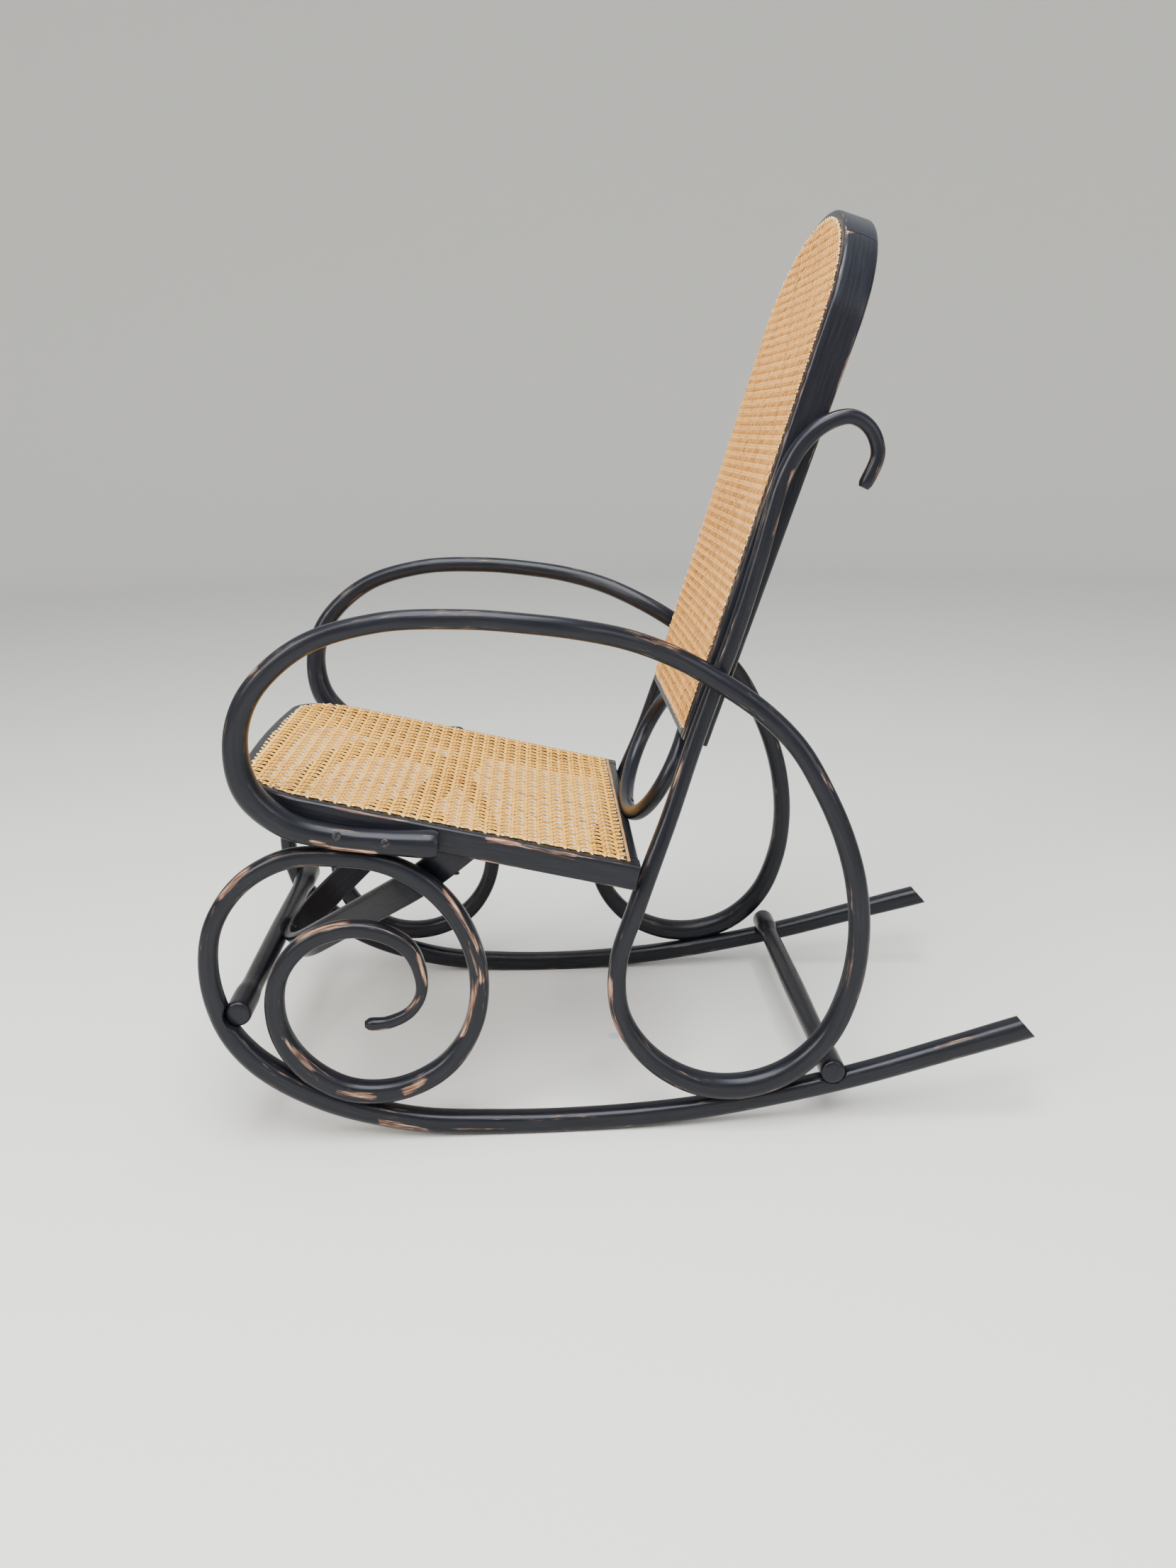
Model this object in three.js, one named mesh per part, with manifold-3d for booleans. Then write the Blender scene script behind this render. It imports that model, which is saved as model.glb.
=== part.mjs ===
// Bentwood rocking chair with a caned seat and back. Millimetres, +Z up.
// +Y points to the chair's back and +X to the sitter's left. Z = 0 is the floor.
import * as THREE from "three";
import { mergeVertices } from "three/addons/utils/BufferGeometryUtils.js";
import Module from "manifold-3d";

const wasm = await Module();
wasm.setup();

// ---- driving dimensions ----
const GAP = 0.3; // clearance between pieces that touch
const FLAT_DEPTH = 0.85; // how far the rockers are lowered into Z = 0 and cut flat there

const SEAT = {
  height: 341.9, // top of the seat where the sloping plane crosses Y = 0
  slope: 0.237, // fall towards the back
  halfWidth: 256.5,
  front: -470, // front and rear edges, along the slope
  rear: 19.5,
  bow: 5, // how far the front rail bows out
  corner: 92,
  rail: 30, // width of the bent rail
  thickness: 31,
  grooveInset: 20.5, // outer edge to the middle of the spline groove
  grooveWidth: 5,
  grooveDepth: 5,
};
const BACK = {
  offset: -82.3, // Y of the front face at floor level
  lean: 0.3269,
  bottom: 499, // ends of the frame and its height, along the lean
  shoulder: 1000,
  top: 1135,
  bottomHalfWidth: 196,
  halfWidth: 206.5,
  rail: 20,
  depth: 41,
  bottomRailHeight: 22,
  bottomRailDepth: 10,
  grooveInset: 13,
  grooveWidth: 4,
  grooveDepth: 4,
};
const RING = { halfWidth: 144, rod: 10, bottom: [20, 338.6], top: [99.6, 492.6] };
const FRONT_STRETCHER = { y: -459, z: 170, half: 264 };
const REAR_STRETCHER = { y: 252, z: 69, half: 263 };
const BRACE = {
  origin: [-511, 105], // where the two legs' lines meet, in Y and Z
  rise: 38.5, // slope of its plane, degrees
  spread: 34.3, // each leg's angle from the middle, degrees
  bend: 126.5, // radius at the front
  endBend: 150, // radius where a leg turns along the rail
  endX: 240,
  thickness: 12,
  height: 37.6,
};
const SCREW = { head: 5.4, dome: 1.6, shank: 2.2 };

// Rocker and front scroll: one rod, from the rear tip along the floor, up and round into the spiral.
// Each point is [x, y, z, radius].
const ROCKER_SCROLL = [
  [238, 514, 117, 12.5], [243, 400, 87.7, 13.2], [246.5, 290, 59.5, 12.7], [249, 180, 37, 12.4],
  [251, 60, 20, 12.7], [251.5, -60, 12.9, 13.2], [253, -160, 14.2, 13.4], [256, -245, 21.3, 13.4],
  [258, -305, 35.4, 14], [259.5, -362, 57, 14.8], [260, -417, 89, 15], [260, -450, 118, 14.2],
  [260, -474.5, 156, 13], [260, -488.5, 217, 11.6], [260, -480, 279, 10.9], [260, -444.5, 330.5, 11.2],
  [260, -391, 360, 11.5], [260, -333, 362, 11.5], [260, -276, 352, 11.8], [260, -227, 323, 12.5],
  [260, -191, 275, 12.2], [260, -174, 214, 11.5], [260, -182, 149, 11.5], [262, -217, 97, 13],
  [265, -273, 69.5, 13.3], [267, -334, 71.4, 13.8], [267, -386, 106, 13.6], [266, -412.5, 158.5, 12.3],
  [265, -406.5, 220, 11.2], [264, -368, 262.5, 11.3], [263, -307, 274, 10.6], [262, -255, 248.5, 10.2],
  [261, -241.5, 196, 7.2], [260, -256, 167, 6.8], [260, -285, 153, 7.2], [260, -311, 152, 6.5],
];
// Arm, rear loop and back post: one rod, from the arm's end at the seat to the hook behind the back.
const ARM_POST = [
  [269.5, -214, 375.5, 15.5], [270, -275, 380.5, 14.5], [270, -332, 388.4, 14], [274, -384, 406, 15],
  [279, -422, 446, 15.8], [282, -430, 503, 14], [285, -410, 557, 12.8], [289, -350, 609, 11.5],
  [291, -267, 633, 10.8], [291, -175, 635, 11], [287, -103, 628, 11.2], [279, -48, 619, 11.4],
  [261, 7, 604, 11.7], [240, 63, 579, 12], [233, 108, 552, 12], [239, 162, 514, 12],
  [245, 202, 473, 12], [251, 232, 422, 12], [254, 257, 365, 12.1], [256, 273, 305, 12.6],
  [256, 278, 240, 12.8], [256, 269, 176, 13.3], [256.5, 243.5, 116, 14], [258, 199, 73.5, 14.8],
  [259.5, 143, 55, 15.2], [258.8, 85, 60.5, 14.8], [253.5, 30, 92.5, 13.4], [248, -5, 146.5, 11.8],
  [242, -8, 211, 11], [237, 15, 281, 11.3], [229, 36, 336, 10.9], [220, 57.5, 391, 10.4],
  [211.5, 84, 468, 10.2], [209, 108, 535, 10.1], [210.5, 130, 596, 10.1], [213, 156, 680, 9.9],
  [214.5, 184, 777, 9.5], [215.5, 204, 812, 9.6], [216, 228, 832, 9.4], [216, 257, 839, 8.6],
  [215, 279, 825, 8.2], [214, 288, 798, 7.9], [214, 273, 762, 7],
];
const STEPS = 2; // sections per control point
const SIDES = 8;
const ROUNDING = 1.04; // corner radius of a section with that many sides, over the rod's radius

// ---- materials ----
const wood = new THREE.MeshStandardMaterial({ color: 0x26282e, roughness: 0.42, metalness: 0 });
const cane = new THREE.MeshStandardMaterial({ color: 0xcf9d55, roughness: 0.6, metalness: 0 });
const reed = new THREE.MeshStandardMaterial({ color: 0xb98845, roughness: 0.6, metalness: 0 });
const iron = new THREE.MeshStandardMaterial({ color: 0x3b3a3a, roughness: 0.5, metalness: 0.8 });

// ---- solids ----
function solid(geometry) {
  const bare = geometry.index ? geometry.toNonIndexed() : geometry.clone();
  bare.deleteAttribute("normal");
  bare.deleteAttribute("uv");
  const merged = mergeVertices(bare, 1e-3);
  return new wasm.Manifold(
    new wasm.Mesh({
      numProp: 3,
      vertProperties: merged.attributes.position.array,
      triVerts: new Uint32Array(merged.index.array),
    }),
  );
}

function toGeometry(body) {
  const mesh = body.getMesh();
  const geometry = new THREE.BufferGeometry();
  geometry.setAttribute("position", new THREE.BufferAttribute(mesh.vertProperties, 3));
  geometry.setIndex(new THREE.BufferAttribute(mesh.triVerts, 1));
  return geometry;
}

function cut(geometry, ...tools) {
  let body = solid(geometry);
  for (const tool of tools) body = body.subtract(solid(tool));
  return toGeometry(body);
}

// A box between two corners.
function box(low, high) {
  const size = high.map((v, i) => v - low[i]);
  return new THREE.BoxGeometry(...size).translate(...high.map((v, i) => (v + low[i]) / 2));
}

// Puts a shape made along +Z at a place, with +Z turned to a direction.
function aim(geometry, at, direction) {
  const turn = new THREE.Quaternion();
  turn.setFromUnitVectors(new THREE.Vector3(0, 0, 1), new THREE.Vector3(...direction).normalize());
  const place = new THREE.Matrix4().makeRotationFromQuaternion(turn);
  return geometry.applyMatrix4(place.setPosition(...at));
}

function lathe(profile, segments = 12) {
  const points = profile.map(([r, z]) => new THREE.Vector2(r, z));
  return new THREE.LatheGeometry(points, segments).rotateX(Math.PI / 2);
}

// A closed skin over rings of points. The rings close on each other, or the ends are capped.
function skin(rings, closed) {
  const n = rings[0].length;
  const index = [];
  const count = closed ? rings.length : rings.length - 1;
  for (let i = 0; i < count; i++) {
    const a = i * n;
    const b = ((i + 1) % rings.length) * n;
    for (let j = 0; j < n; j++) {
      const k = (j + 1) % n;
      index.push(a + j, b + k, b + j, a + j, a + k, b + k);
    }
  }
  if (!closed) {
    const last = (rings.length - 1) * n;
    for (let j = 1; j < n - 1; j++) index.push(0, j + 1, j, last, last + j, last + j + 1);
  }
  const geometry = new THREE.BufferGeometry();
  const positions = rings.flat().flatMap((p) => p.toArray());
  geometry.setAttribute("position", new THREE.Float32BufferAttribute(positions, 3));
  geometry.setIndex(index);
  return geometry;
}

// A rod along a curve. Its section stays square to the curve, with one side along "across".
const X_AXIS = new THREE.Vector3(1, 0, 0);
function rodAlong(curve, radiusAt, count, across = X_AXIS, closed = false) {
  const rings = [];
  for (let i = 0; i < (closed ? count : count + 1); i++) {
    const t = i / count;
    const centre = curve.getPoint(t);
    const tangent = curve.getTangent(t);
    const side = across.clone().addScaledVector(tangent, -across.dot(tangent)).normalize();
    const up = tangent.clone().cross(side);
    const ring = [];
    for (let j = 0; j < SIDES; j++) {
      const angle = ((j + 0.5) * 2 * Math.PI) / SIDES;
      const r = radiusAt(t) * ROUNDING;
      ring.push(
        centre
          .clone()
          .addScaledVector(side, r * Math.cos(angle))
          .addScaledVector(up, r * Math.sin(angle)),
      );
    }
    rings.push(ring);
  }
  return skin(rings, closed);
}

// A bent rod through control points of [x, y, z, radius].
function bentRod(points) {
  const curve = new THREE.CatmullRomCurve3(points.map(([x, y, z]) => new THREE.Vector3(x, y, z)));
  const last = points.length - 1;
  const radiusAt = (t) => {
    const i = Math.min(Math.floor(t * last), last - 1);
    return THREE.MathUtils.lerp(points[i][3], points[i + 1][3], t * last - i);
  };
  return rodAlong(curve, radiusAt, last * STEPS);
}

// ---- screws and dowels ----
// A round-headed wood screw that points down from Z = 0, under its head.
function screwBody({ at, direction, length }) {
  const { head, dome, shank } = SCREW;
  const profile = [
    [0, -length], [shank * 0.4, -length], [shank, 6 - length], [shank, -3],
    [head, -0.6], [head, 0.2], [head * 0.6, dome], [0, dome],
  ];
  return aim(lathe(profile, 6), at, direction);
}

// The hole that a screw fills, open above its head.
function screwHole({ at, direction, length }) {
  const shank = SCREW.shank + GAP;
  const head = SCREW.head + GAP;
  const above = 9;
  const profile = [
    [0, -length - GAP], [shank, -length - GAP], [shank, -3 - GAP],
    [head, -0.6 - GAP], [head, above], [0, above],
  ];
  return aim(lathe(profile, 6), at, direction);
}

// A screw is {at, direction, length}: direction points out of its head.
// These are on the +X side, and the -X side mirrors them.
const SIDE_SCREWS = {
  arm_screw_front: { at: [283.6, -326, 393], direction: [1, 0, 0], length: 42 },
  arm_screw_rear: { at: [283.8, -272, 383], direction: [1, 0, 0], length: 42 },
  scroll_top_screw: { at: [262.5, -333, 350.2], direction: [-0.1, 0, -1], length: 34 },
  scroll_foot_screw: { at: [255.6, -305, 21.6], direction: [-0.24, -0.3, -0.92], length: 46 },
  loop_foot_screw: { at: [246.6, 112.3, 14.2], direction: [-0.308, 0.13, -0.94], length: 44 },
  crossing_screw: { at: [179.2, 112, 549.5], direction: [-1, 0, 0], length: 60 },
  post_screw_upper: { at: [184.7, 176.8, 752], direction: [-1, 0, 0], length: 34 },
  post_screw_lower: { at: [181.1, 134.3, 608], direction: [-1, 0, 0], length: 34 },
  seat_bolt: { at: [232.5, 40.3, 319.5], direction: [0, 0.973, -0.23], length: 55 },
  front_stretcher_screw: { at: [260, -489.2, 169.6], direction: [0, -1, 0.05], length: 42 },
  rear_stretcher_screw: { at: [247.6, 254, 38.9], direction: [0, 0.2, -1], length: 34 },
  brace_screw_rear: { at: [240, -198, 329.6], direction: [0, -0.23, -0.973], length: 46 },
};
const MIDDLE_SCREWS = {
  brace_screw_front: { at: [0, -438.4, 180.8], direction: [0, 0.783, 0.623], length: 24 },
  ring_screw_bottom: { at: [0, 24.8, 347], direction: [0, 0.5, 0.866], length: 34 },
  ring_screw_top: { at: [0, 108.9, 489.6], direction: [0, 0.951, -0.311], length: 27 },
};

// The holes of the side screws whose names start with one of these words.
function holes(...starts) {
  const named = Object.entries(SIDE_SCREWS).filter(([name]) => starts.some((w) => name.startsWith(w)));
  return named.map(([, screw]) => screwHole(screw));
}

function dowelBody(radius, half, x) {
  return aim(lathe([[0, -half], [radius, -half], [radius, half], [0, half]], 10), x, [1, 0, 0]);
}

// ---- rocker with its scroll ----
function rockerScroll() {
  const stretcherSeat = (s) =>
    aim(lathe([[0, -30], [16.1, -30], [16.1, 30], [0, 30]], 24), [s.half, s.y, s.z], [1, 0, 0]);
  const tip = aim(box([-40, -40, 0], [40, 40, 40]), [238, 492.5, 113.5], [0, 0.75, 0.66]);
  return cut(
    bentRod(ROCKER_SCROLL.map(([x, y, z, r]) => [x, y, z - FLAT_DEPTH, r])),
    box([200, -400, -20], [300, 300, 0]),
    tip,
    stretcherSeat(FRONT_STRETCHER),
    stretcherSeat(REAR_STRETCHER),
    ...holes("scroll_top", "scroll_foot", "loop_foot", "front_stretcher", "rear_stretcher"),
  );
}

// ---- arm, loop and post ----
// The loop's foot is notched where it crosses the rocker.
function armPost() {
  const seatSide = box([200, -400, 330], [SEAT.halfWidth + GAP, -180, 450]);
  const rockerBelow = ROCKER_SCROLL.slice(1, 7).map(([x, y, z, r]) => [x, y, z - FLAT_DEPTH, r + GAP]);
  return cut(
    bentRod(ARM_POST),
    seatSide,
    bentRod(rockerBelow),
    ...holes("arm_screw", "scroll_top", "loop_foot", "crossing", "post_screw", "seat_bolt"),
  );
}

// ---- sloping frames of the seat, the back and the brace ----
function tilted(at, slope) {
  return new THREE.Matrix4().makeRotationX(slope).setPosition(0, ...at);
}
const seatFrame = tilted([0, SEAT.height], -Math.atan(SEAT.slope));
const backFrame = tilted([BACK.offset, 0], -Math.atan(BACK.lean));
const level = new THREE.Matrix4();
const braceFrame = tilted(BRACE.origin, THREE.MathUtils.degToRad(BRACE.rise));

// A tool made in the chair's frame, moved into a sloping frame, and the mirrored copy of one.
const into = (frame, tool) => tool.clone().applyMatrix4(frame.clone().invert());
const mirrored = (screw) => ({
  ...screw,
  at: [-screw.at[0], screw.at[1], screw.at[2]],
  direction: [-screw.direction[0], screw.direction[1], screw.direction[2]],
});
const bothHoles = (frame, name) => {
  const screw = SIDE_SCREWS[name];
  return [into(frame, screwHole(screw)), into(frame, screwHole(mirrored(screw)))];
};

// ---- seat: X across, Y along the slope, Z up from the top of the seat ----
// The line round the sides and front, from the left rear end to the right one.
function seatLine(inset) {
  const half = SEAT.halfWidth - inset;
  const front = SEAT.front + SEAT.bow + inset;
  const radius = SEAT.corner - inset;
  const path = new THREE.Path();
  path.moveTo(half, SEAT.rear);
  path.lineTo(half, front + radius);
  path.absarc(half - radius, front + radius, radius, 0, -Math.PI / 2, true);
  path.quadraticCurveTo(0, front - 2 * SEAT.bow, radius - half, front);
  path.absarc(radius - half, front + radius, radius, -Math.PI / 2, -Math.PI, true);
  path.lineTo(-half, SEAT.rear);
  return path.getPoints(6);
}

// A closed line at one inset from every edge.
function seatLoop(inset) {
  const rear = SEAT.rear - inset;
  return seatLine(inset).map((p) => new THREE.Vector2(p.x, Math.min(p.y, rear)));
}

// An outline run anticlockwise, without the doubled points where one stretch meets the next.
function tidyOutline(points) {
  const kept = points.filter((p, i) => p.distanceTo(points[(i + 1) % points.length]) > 0.01);
  return THREE.ShapeUtils.isClockWise(kept) ? kept.reverse() : kept;
}

function extrude(outline, hole, low, high) {
  const shape = new THREE.Shape(tidyOutline(outline));
  if (hole) shape.holes.push(new THREE.Path(tidyOutline(hole)));
  const made = new THREE.ExtrudeGeometry(shape, { depth: high - low, bevelEnabled: false });
  return made.translate(0, 0, low);
}

function seatGroove(clearance, low, high) {
  const half = SEAT.grooveWidth / 2 - clearance;
  const { grooveInset } = SEAT;
  return extrude(seatLoop(grooveInset - half), seatLoop(grooveInset + half), low, high);
}

const SEAT_DOWEL = { radius: 3.5, half: 20, y: 4, z: -24 };
function seatDowel(side, grow = 0) {
  const { radius, half, y, z } = SEAT_DOWEL;
  const x = side * (SEAT.halfWidth - SEAT.rail);
  return dowelBody(radius + grow, half + grow, [x, y, z]);
}

function seatHoop() {
  const outline = [...seatLine(0), ...seatLine(SEAT.rail).reverse()];
  return cut(
    extrude(outline, null, -SEAT.thickness, 0),
    seatGroove(0, -SEAT.grooveDepth, 5),
    seatDowel(1, GAP),
    seatDowel(-1, GAP),
    ...bothHoles(seatFrame, "arm_screw_front"),
    ...bothHoles(seatFrame, "arm_screw_rear"),
    ...bothHoles(seatFrame, "seat_bolt"),
    ...bothHoles(seatFrame, "brace_screw_rear"),
  );
}

function seatRearRail() {
  const half = SEAT.halfWidth - SEAT.rail - GAP;
  return cut(
    box([-half, SEAT.rear - SEAT.rail, -SEAT.thickness], [half, SEAT.rear, 0]),
    seatGroove(0, -SEAT.grooveDepth, 5),
    seatDowel(1, GAP),
    seatDowel(-1, GAP),
    into(seatFrame, ringRod(GAP)),
    into(seatFrame, screwHole(MIDDLE_SCREWS.ring_screw_bottom)),
  );
}

const CANE_THICKNESS = 2;
function seatCane() {
  const edge = SEAT.grooveInset + SEAT.grooveWidth / 2;
  return extrude(seatLoop(edge), null, GAP, GAP + CANE_THICKNESS);
}

// ---- back: X across, Y backwards from the front face, Z up along the lean ----
// The line up one side, over the top and down the other.
function backLine(inset) {
  const low = BACK.bottomHalfWidth - inset;
  const wide = BACK.halfWidth - inset;
  const rise = BACK.top - BACK.shoulder - inset;
  const path = new THREE.Path();
  path.moveTo(low, BACK.bottom);
  path.quadraticCurveTo(wide, BACK.bottom + 300, wide, BACK.shoulder);
  path.absellipse(0, BACK.shoulder, wide, rise, 0, Math.PI, false);
  path.quadraticCurveTo(-wide, BACK.bottom + 300, -low, BACK.bottom);
  return path.getPoints(8);
}

function backLoop(inset) {
  return backLine(inset).map((p) => new THREE.Vector2(p.x, Math.max(p.y, BACK.bottom + inset)));
}

// Extrudes an outline of the back between two depths.
function backPlate(outline, hole, near, far) {
  return extrude(outline, hole, -far, -near).rotateX(Math.PI / 2);
}

function backGroove(clearance, near, far) {
  const half = BACK.grooveWidth / 2 - clearance;
  const { grooveInset } = BACK;
  return backPlate(backLoop(grooveInset - half), backLoop(grooveInset + half), near, far);
}

const BACK_DOWEL = { radius: 2.2, half: 14, y: 7, z: BACK.bottom + 11 };
function backDowel(side, grow = 0) {
  const { radius, half, y, z } = BACK_DOWEL;
  const x = side * (BACK.bottomHalfWidth - BACK.rail);
  return dowelBody(radius + grow, half + grow, [x, y, z]);
}

function backArch() {
  const outline = [...backLine(0), ...backLine(BACK.rail).reverse()];
  return cut(
    backPlate(outline, null, 0, BACK.depth),
    backGroove(0, -5, BACK.grooveDepth),
    backDowel(1, GAP),
    backDowel(-1, GAP),
    ...bothHoles(backFrame, "crossing_screw"),
    ...bothHoles(backFrame, "post_screw_upper"),
    ...bothHoles(backFrame, "post_screw_lower"),
  );
}

function backBottomRail() {
  const half = BACK.bottomHalfWidth - BACK.rail - GAP;
  const top = BACK.bottom + BACK.bottomRailHeight;
  return cut(
    box([-half, 0, BACK.bottom], [half, BACK.bottomRailDepth, top]),
    backGroove(0, -5, BACK.grooveDepth),
    backDowel(1, GAP),
    backDowel(-1, GAP),
    into(backFrame, ringRod(GAP)),
    into(backFrame, screwHole(MIDDLE_SCREWS.ring_screw_top)),
  );
}

function backCane() {
  const edge = BACK.grooveInset + BACK.grooveWidth / 2;
  return backPlate(backLoop(edge), null, -GAP - CANE_THICKNESS, -GAP);
}

// ---- oval ring between the seat and the back ----
class Oval extends THREE.Curve {
  getPoint(t, target = new THREE.Vector3()) {
    const angle = 2 * Math.PI * t;
    const lift = (1 - Math.cos(angle)) / 2;
    const [low, high] = [RING.bottom, RING.top];
    return target.set(
      RING.halfWidth * Math.sin(angle),
      low[0] + (high[0] - low[0]) * lift,
      low[1] + (high[1] - low[1]) * lift,
    );
  }
}

function ringRod(grow = 0) {
  const rise = new THREE.Vector3(0, RING.top[0] - RING.bottom[0], RING.top[1] - RING.bottom[1]);
  const normal = X_AXIS.clone().cross(rise).normalize();
  return rodAlong(new Oval(), () => RING.rod + grow, 48, normal, true);
}

function ovalRing() {
  const { ring_screw_bottom: bottom, ring_screw_top: top } = MIDDLE_SCREWS;
  return cut(ringRod(), screwHole(bottom), screwHole(top));
}

// ---- stretchers, turned along X ----
function turned(profile, { y, z, half }) {
  const left = profile.map(([r, inset]) => [r, inset - half]);
  const right = left.map(([r, x]) => [r, -x]).reverse();
  const body = lathe([[0, -half], ...left, ...right, [0, half]], 14);
  return aim(body, [0, y, z], [1, 0, 0]);
}

// Thick ends that lie against the scrolls, a narrower neck and a slight swell to the middle,
// which is cut flat where the brace bears on it.
const BRACE_FLAT = 10.75;
const BRACE_FACING = Math.atan2(0.623, 0.783);
function frontStretcher() {
  const profile = [
    [12.5, 0], [15.8, 4], [15.8, 50], [15.3, 60], [13.8, 75], [13.2, 90], [13.6, 160], [14, 240],
  ];
  const braceFlat = box([-34, BRACE_FLAT, -30], [34, 60, 30]).rotateX(BRACE_FACING);
  const { y, z } = FRONT_STRETCHER;
  return cut(
    turned(profile, FRONT_STRETCHER),
    braceFlat.translate(0, y, z),
    ...bothHoles(level, "front_stretcher_screw"),
    screwHole(MIDDLE_SCREWS.brace_screw_front),
  );
}

function rearStretcher() {
  const profile = [
    [12, 0], [15.7, 5], [15.7, 48], [14, 60], [12.6, 75], [13.2, 130], [14.3, 240],
  ];
  return cut(turned(profile, REAR_STRETCHER), ...bothHoles(level, "rear_stretcher_screw"));
}

// ---- brace under the seat: a strip bent into a U, in its own sloping plane ----
// One half of the strip's line, offset from its middle, from the front to the rear end.
function braceHalf(offset) {
  const { bend, endBend, endX } = BRACE;
  const spread = THREE.MathUtils.degToRad(BRACE.spread);
  const points = [];
  const arc = (cx, cy, radius, from, to, steps) => {
    for (let i = 0; i <= steps; i++) {
      const angle = THREE.MathUtils.lerp(from, to, i / steps);
      points.push(new THREE.Vector2(cx + radius * Math.cos(angle), cy + radius * Math.sin(angle)));
    }
  };
  const turnX = endX - endBend;
  const turnY = (turnX + endBend * Math.cos(spread)) / Math.tan(spread) + endBend * Math.sin(spread);
  arc(0, bend / Math.sin(spread), bend + offset, -Math.PI / 2, -spread, 8);
  arc(turnX, turnY, endBend + offset, -spread, 0, 4);
  points.push(new THREE.Vector2(endX + offset, turnY + 60));
  return points;
}

function seatBrace() {
  const flip = (p) => new THREE.Vector2(-p.x, p.y);
  const outer = braceHalf(BRACE.thickness / 2);
  const inner = braceHalf(-BRACE.thickness / 2);
  const outline = [
    ...outer,
    ...inner.slice().reverse(),
    ...inner.slice(1).map(flip),
    ...outer.slice(1).reverse().map(flip),
  ];
  const aboveRail = box([-400, -600, -SEAT.thickness - GAP], [400, 200, 300]).applyMatrix4(seatFrame);
  return cut(
    extrude(outline, null, -BRACE.height / 2, BRACE.height / 2),
    into(braceFrame, aboveRail),
    into(braceFrame, screwHole(MIDDLE_SCREWS.brace_screw_front)),
    ...bothHoles(braceFrame, "brace_screw_rear"),
  );
}

// ---- the chair ----
const chair = new THREE.Group();

function group(matrix) {
  const made = new THREE.Group();
  made.applyMatrix4(matrix);
  chair.add(made);
  return made;
}

function add(name, geometry, material, parent = chair) {
  geometry.computeVertexNormals();
  const mesh = new THREE.Mesh(geometry, material);
  mesh.name = name;
  parent.add(mesh);
}

const left = group(level);
const right = group(new THREE.Matrix4().makeScale(-1, 1, 1));
const seat = group(seatFrame);
const back = group(backFrame);
const brace = group(braceFrame);

for (const [hand, half] of [["left", left], ["right", right]]) {
  add(`rocker_scroll_${hand}`, rockerScroll(), wood, half);
  add(`arm_post_${hand}`, armPost(), wood, half);
  for (const [name, screw] of Object.entries(SIDE_SCREWS)) {
    add(`${name}_${hand}`, screwBody(screw), iron, half);
  }
}
add("seat_frame_hoop", seatHoop(), wood, seat);
add("seat_rear_rail", seatRearRail(), wood, seat);
add("seat_dowel_left", seatDowel(1), reed, seat);
add("seat_dowel_right", seatDowel(-1), reed, seat);
add("seat_cane_panel", seatCane(), cane, seat);
add("seat_cane_spline", seatGroove(GAP, GAP - SEAT.grooveDepth, 1.8), reed, seat);

add("back_frame_arch", backArch(), wood, back);
add("back_bottom_rail", backBottomRail(), wood, back);
add("back_dowel_left", backDowel(1), reed, back);
add("back_dowel_right", backDowel(-1), reed, back);
add("back_cane_panel", backCane(), cane, back);
add("back_cane_spline", backGroove(GAP, -1.8, BACK.grooveDepth - GAP), reed, back);

add("oval_ring", ovalRing(), wood);
add("front_stretcher", frontStretcher(), wood);
add("rear_stretcher", rearStretcher(), wood);
add("seat_brace", seatBrace(), wood, brace);
for (const [name, screw] of Object.entries(MIDDLE_SCREWS)) add(name, screwBody(screw), iron);

export default chair;
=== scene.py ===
"""Looks of a bentwood rocking chair with a caned seat and back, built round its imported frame."""

import math

import bpy
import bmesh
import numpy as np
from mathutils import Matrix, Vector


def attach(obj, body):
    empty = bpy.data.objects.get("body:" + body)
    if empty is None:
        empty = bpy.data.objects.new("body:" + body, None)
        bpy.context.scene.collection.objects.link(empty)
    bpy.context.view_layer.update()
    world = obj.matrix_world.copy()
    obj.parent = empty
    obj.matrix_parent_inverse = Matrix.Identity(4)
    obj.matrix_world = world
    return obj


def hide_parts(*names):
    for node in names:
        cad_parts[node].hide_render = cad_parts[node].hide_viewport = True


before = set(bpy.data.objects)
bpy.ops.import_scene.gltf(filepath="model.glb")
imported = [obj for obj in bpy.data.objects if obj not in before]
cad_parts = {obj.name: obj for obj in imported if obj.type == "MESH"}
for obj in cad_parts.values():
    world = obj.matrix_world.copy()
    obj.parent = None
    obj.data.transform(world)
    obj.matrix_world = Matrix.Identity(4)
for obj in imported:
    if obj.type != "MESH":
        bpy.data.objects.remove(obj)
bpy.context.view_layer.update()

MM = 0.001
BODY = "root"
rng = np.random.default_rng(7)

# -------------------- sizes, in millimetres
SEAT_SLOPE = 0.237          # fall towards the back
SEAT_HEIGHT = 341.9         # top of the seat where its plane crosses Y = 0
SEAT_HALF = 256.5
SEAT_FRONT, SEAT_REAR = -465.0, 19.5
SEAT_BOW = 5.0
SEAT_CORNER = 92.0
SEAT_RAIL = 30.0
SEAT_THICK = 31.0
SEAT_SPLINE = 17.0          # outer edge to the middle of the spline
REAR_SPLINE = 13.5          # the same at the straight rear
SEAT_CANE_EDGE = 11.5       # outer edge to the strands' ends
SEAT_PITCH = 15.9           # from one pair of strands to the next
SEAT_SAG = 5.0              # of the cane in the middle

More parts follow.
